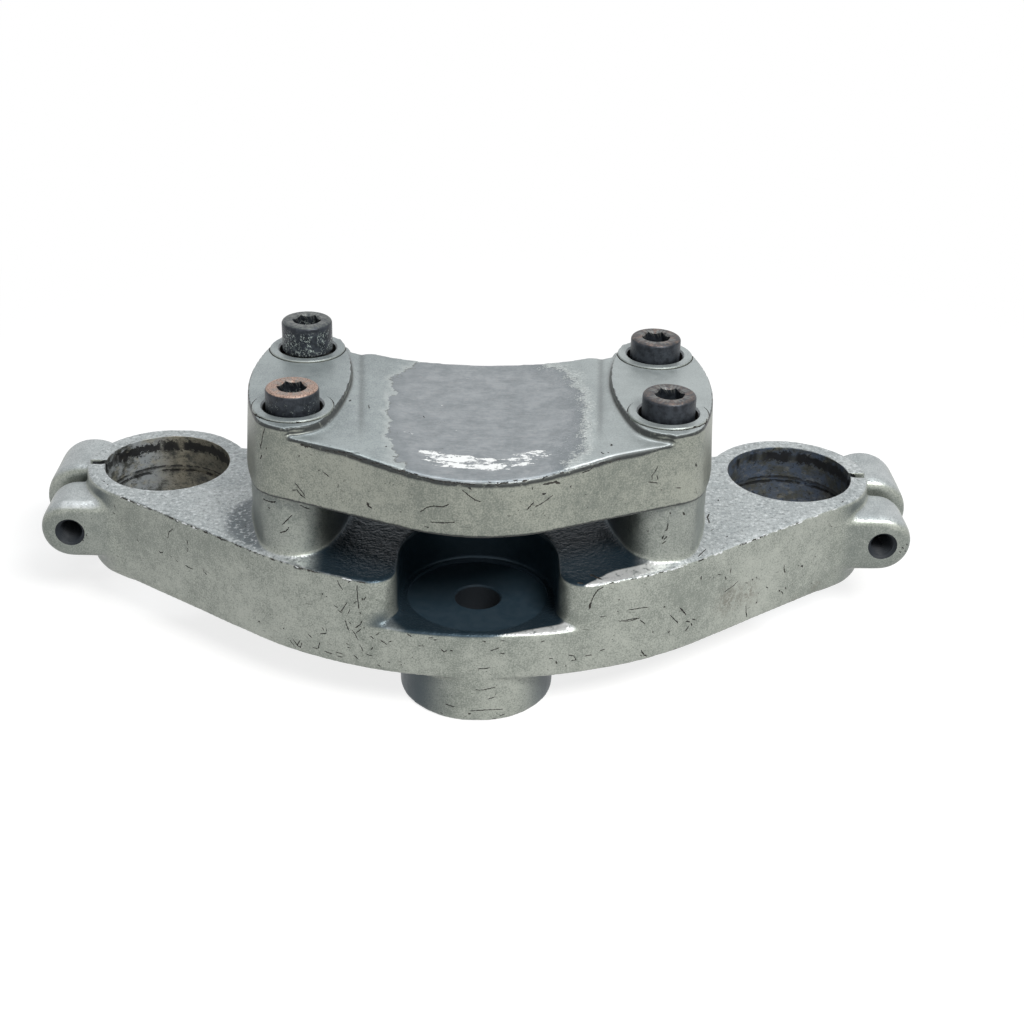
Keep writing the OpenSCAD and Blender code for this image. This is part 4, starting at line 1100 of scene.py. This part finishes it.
# Pale specks of the orange peel and painted highlights; pale wear round the bare oval, pale flakes and painted
# light on the right-hand tops
PEEL_AND_HIGHLIGHT_WHITE, PALE_WEAR_AND_LIGHT = tone(222, 226, 228), tone(200, 205, 203)
# Colour and amount of the painted shade in the recess and under the clamp
SHADE_BLUE, RECESS_SHADE_AMOUNT = tone(27, 50, 64), 0.96
# Painted shade and dark patches of the yoke; near-black painted shade inside the holes
SHADE_AND_PATCH_BLUE, HOLE_SHADE = tone(52, 66, 74), tone(16, 24, 32)
BARE_DARK, BARE_LIGHT = tone(118, 125, 129), tone(148, 153, 157)
BARE_PINK, BARE_LINE = tone(160, 156, 157), tone(172, 176, 179)
BARE_RIM = tone(104, 112, 117)
FLAKE = tone(238, 240, 240)
METAL_DARK, METAL_LIGHT = tone(110, 115, 118), tone(160, 165, 168)
CHIP_DARK, CHIP_BROWN = tone(26, 27, 27), tone(52, 49, 44)
NICK_GREY, NICK_WHITE = tone(190, 194, 196), tone(240, 242, 244)
BORE_DARK, BORE_OLIVE, BORE_BLUE = tone(70, 72, 68), tone(152, 147, 132), tone(76, 88, 106)
BORE_GREY = tone(160, 166, 170)
BORE_PALE, BORE_BLACK = tone(168, 165, 150), tone(12, 13, 16)
OXIDE_DARK, OXIDE_LIGHT, OXIDE_RUB = tone(32, 36, 42), tone(56, 61, 68), tone(124, 126, 124)
OXIDE_BROWN, OXIDE_GREY = tone(88, 78, 72), tone(104, 108, 104)
RUST_DARK, RUST_LIGHT = tone(88, 70, 62), tone(176, 150, 136)
SALT = tone(176, 186, 182)

chips, nicks, machined = chip_dirt("chip_dirt"), nick_metal("nick_metal"), machined_metal("machined_metal")
yoke_paint, bore_grime_and_slot_shade = cast_paint("yoke_paint", YOKE_SHADED_SIDES, YOKE_LIT_TOPS), fork_bore_grime_and_slot_shade("fork_bore_grime_and_slot_shade")
yoke = make_yoke([yoke_paint, machined, chips, nicks, bore_grime_and_slot_shade])
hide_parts("yoke")
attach(yoke, BODY)
clamp = make_clamp([cast_paint("clamp_paint", CLAMP_SHADED_SIDES, CLAMP_LIT_TOPS, True), machined, chips, nicks])
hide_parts("handlebar_clamp")
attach(clamp, BODY)

# Rust on the crown and pale specks on the side of each screw head
WEATHER = {
    "clamp_screw_near_left": (0.9, 0.45),
    "clamp_screw_near_right": (0.1, 0.0),
    "clamp_screw_far_left": (0.0, 0.8),
    "clamp_screw_far_right": (0.15, 0.05),
}
for node, (rust, specks) in WEATHER.items():
    finish = black_oxide(node.replace("clamp_screw", "oxide"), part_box(node)[1].z / MM, rust, specks)
    screw = make_screw(node, finish)
    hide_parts(node)
    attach(screw, BODY)


def seen_directly(tree):
    """Mask of the camera, glossy and transmission rays."""
    path = tree.nodes.new("ShaderNodeLightPath")
    seen = path.outputs["Is Camera Ray"]
    for name in ("Is Glossy Ray", "Is Transmission Ray"):
        either = tree.nodes.new("ShaderNodeMath")
        either.operation = "MAXIMUM"
        tree.links.new(seen, either.inputs[0])
        tree.links.new(path.outputs[name], either.inputs[1])
        seen = either.outputs[0]
    return seen


# Pale floor: lit from above, so that it keeps the object's shadow, and near white
# to the camera; away from the object it is plain white
FLOOR_DROP, FLOOR_REACH = -0.16, 4000
FLOOR_LIT, FLOOR_WHITE = 0.3, 0.8
NEAR_FLOOR, FAR_FLOOR = 160, 420
floor_mesh = bpy.data.meshes.new("floor")
corners = ((-1, -1), (1, -1), (1, 1), (-1, 1))
floor_points = [(x * FLOOR_REACH * MM, y * FLOOR_REACH * MM, FLOOR_DROP * MM) for x, y in corners]
floor_mesh.from_pydata(floor_points, [], [(0, 1, 2, 3)])
floor = mesh_object("floor", floor_mesh)
f = Finish("floor", 0, 0.9)
f.shader.inputs["Specular IOR Level"].default_value = 0
far = f.step(f.from_axis(0, 30), NEAR_FLOOR, FAR_FLOOR)
pale = (FLOOR_LIT, FLOOR_LIT, FLOOR_LIT, 1)
f.plug(f.shader.inputs["Base Color"], f.mix(far, pale, (0, 0, 0, 1)))
glow = f.add("ShaderNodeEmission")
whiteness = f.math("ADD", f.times(far, 1 - FLOOR_WHITE), FLOOR_WHITE)
f.plug(glow.inputs["Strength"], f.times(whiteness, seen_directly(f.tree)))
both = f.tree.nodes.new("ShaderNodeAddShader")
f.plug(both.inputs[0], f.shader.outputs[0])
f.plug(both.inputs[1], glow.outputs[0])
f.plug(f.tree.nodes["Material Output"].inputs["Surface"], both.outputs[0])
floor.data.materials.append(f.material)

world = bpy.data.worlds.new("studio")
bpy.context.scene.world = world
world.use_nodes = True
tree = world.node_tree
tree.nodes.clear()
out = tree.nodes.new("ShaderNodeOutputWorld")
lit = tree.nodes.new("ShaderNodeBackground")
seen = tree.nodes.new("ShaderNodeBackground")
mix = tree.nodes.new("ShaderNodeMixShader")
lit.inputs["Color"].default_value = (0.9, 0.95, 1, 1)
lit.inputs["Strength"].default_value = 0.13
seen.inputs["Color"].default_value = (1, 1, 1, 1)
seen.inputs["Strength"].default_value = 1
tree.links.new(seen_directly(tree), mix.inputs[0])
tree.links.new(lit.outputs[0], mix.inputs[1])
tree.links.new(seen.outputs[0], mix.inputs[2])
tree.links.new(mix.outputs[0], out.inputs[0])


def lamp(name, where, at, size, power, colour):
    """A rectangular lamp that looks from one place at another, in metres."""
    data = bpy.data.lights.new(name, "AREA")
    data.shape = "RECTANGLE"
    data.size, data.size_y = size
    data.energy = power
    data.color = colour
    o = bpy.data.objects.new(name, data)
    bpy.context.scene.collection.objects.link(o)
    o.location = where
    o.rotation_euler = (Vector(at) - Vector(where)).to_track_quat("-Z", "Y").to_euler()


MIDDLE = (0, 0.03, 0.04)
lamp("top_light", (0.05, 0.3, 1.1), MIDDLE, (0.8, 0.5), 3.5, (0.94, 0.98, 1))
lamp("key_light", (0.4, -0.62, 0.85), MIDDLE, (0.45, 0.3), 12, (1, 0.99, 0.96))

# Width of the camera's sensor, in mm
SENSOR = 36.0
camera_data = bpy.data.cameras.new("camera")
camera = bpy.data.objects.new("camera", camera_data)
bpy.context.scene.collection.objects.link(camera)
camera_data.sensor_width = SENSOR
camera_data.lens = FOCAL / FRAME_PX * SENSOR
camera_data.shift_y = (CENTRE_V - FRAME_PX / 2) / FRAME_PX
camera_data.clip_start, camera_data.clip_end = 0.01, 50
right, down, forward = camera_axes()
camera.matrix_world = Matrix.Translation(EYE) @ Matrix((right, -down, -forward)).transposed().to_4x4()
bpy.context.scene.camera = camera
bpy.context.scene.view_settings.view_transform = "Standard"
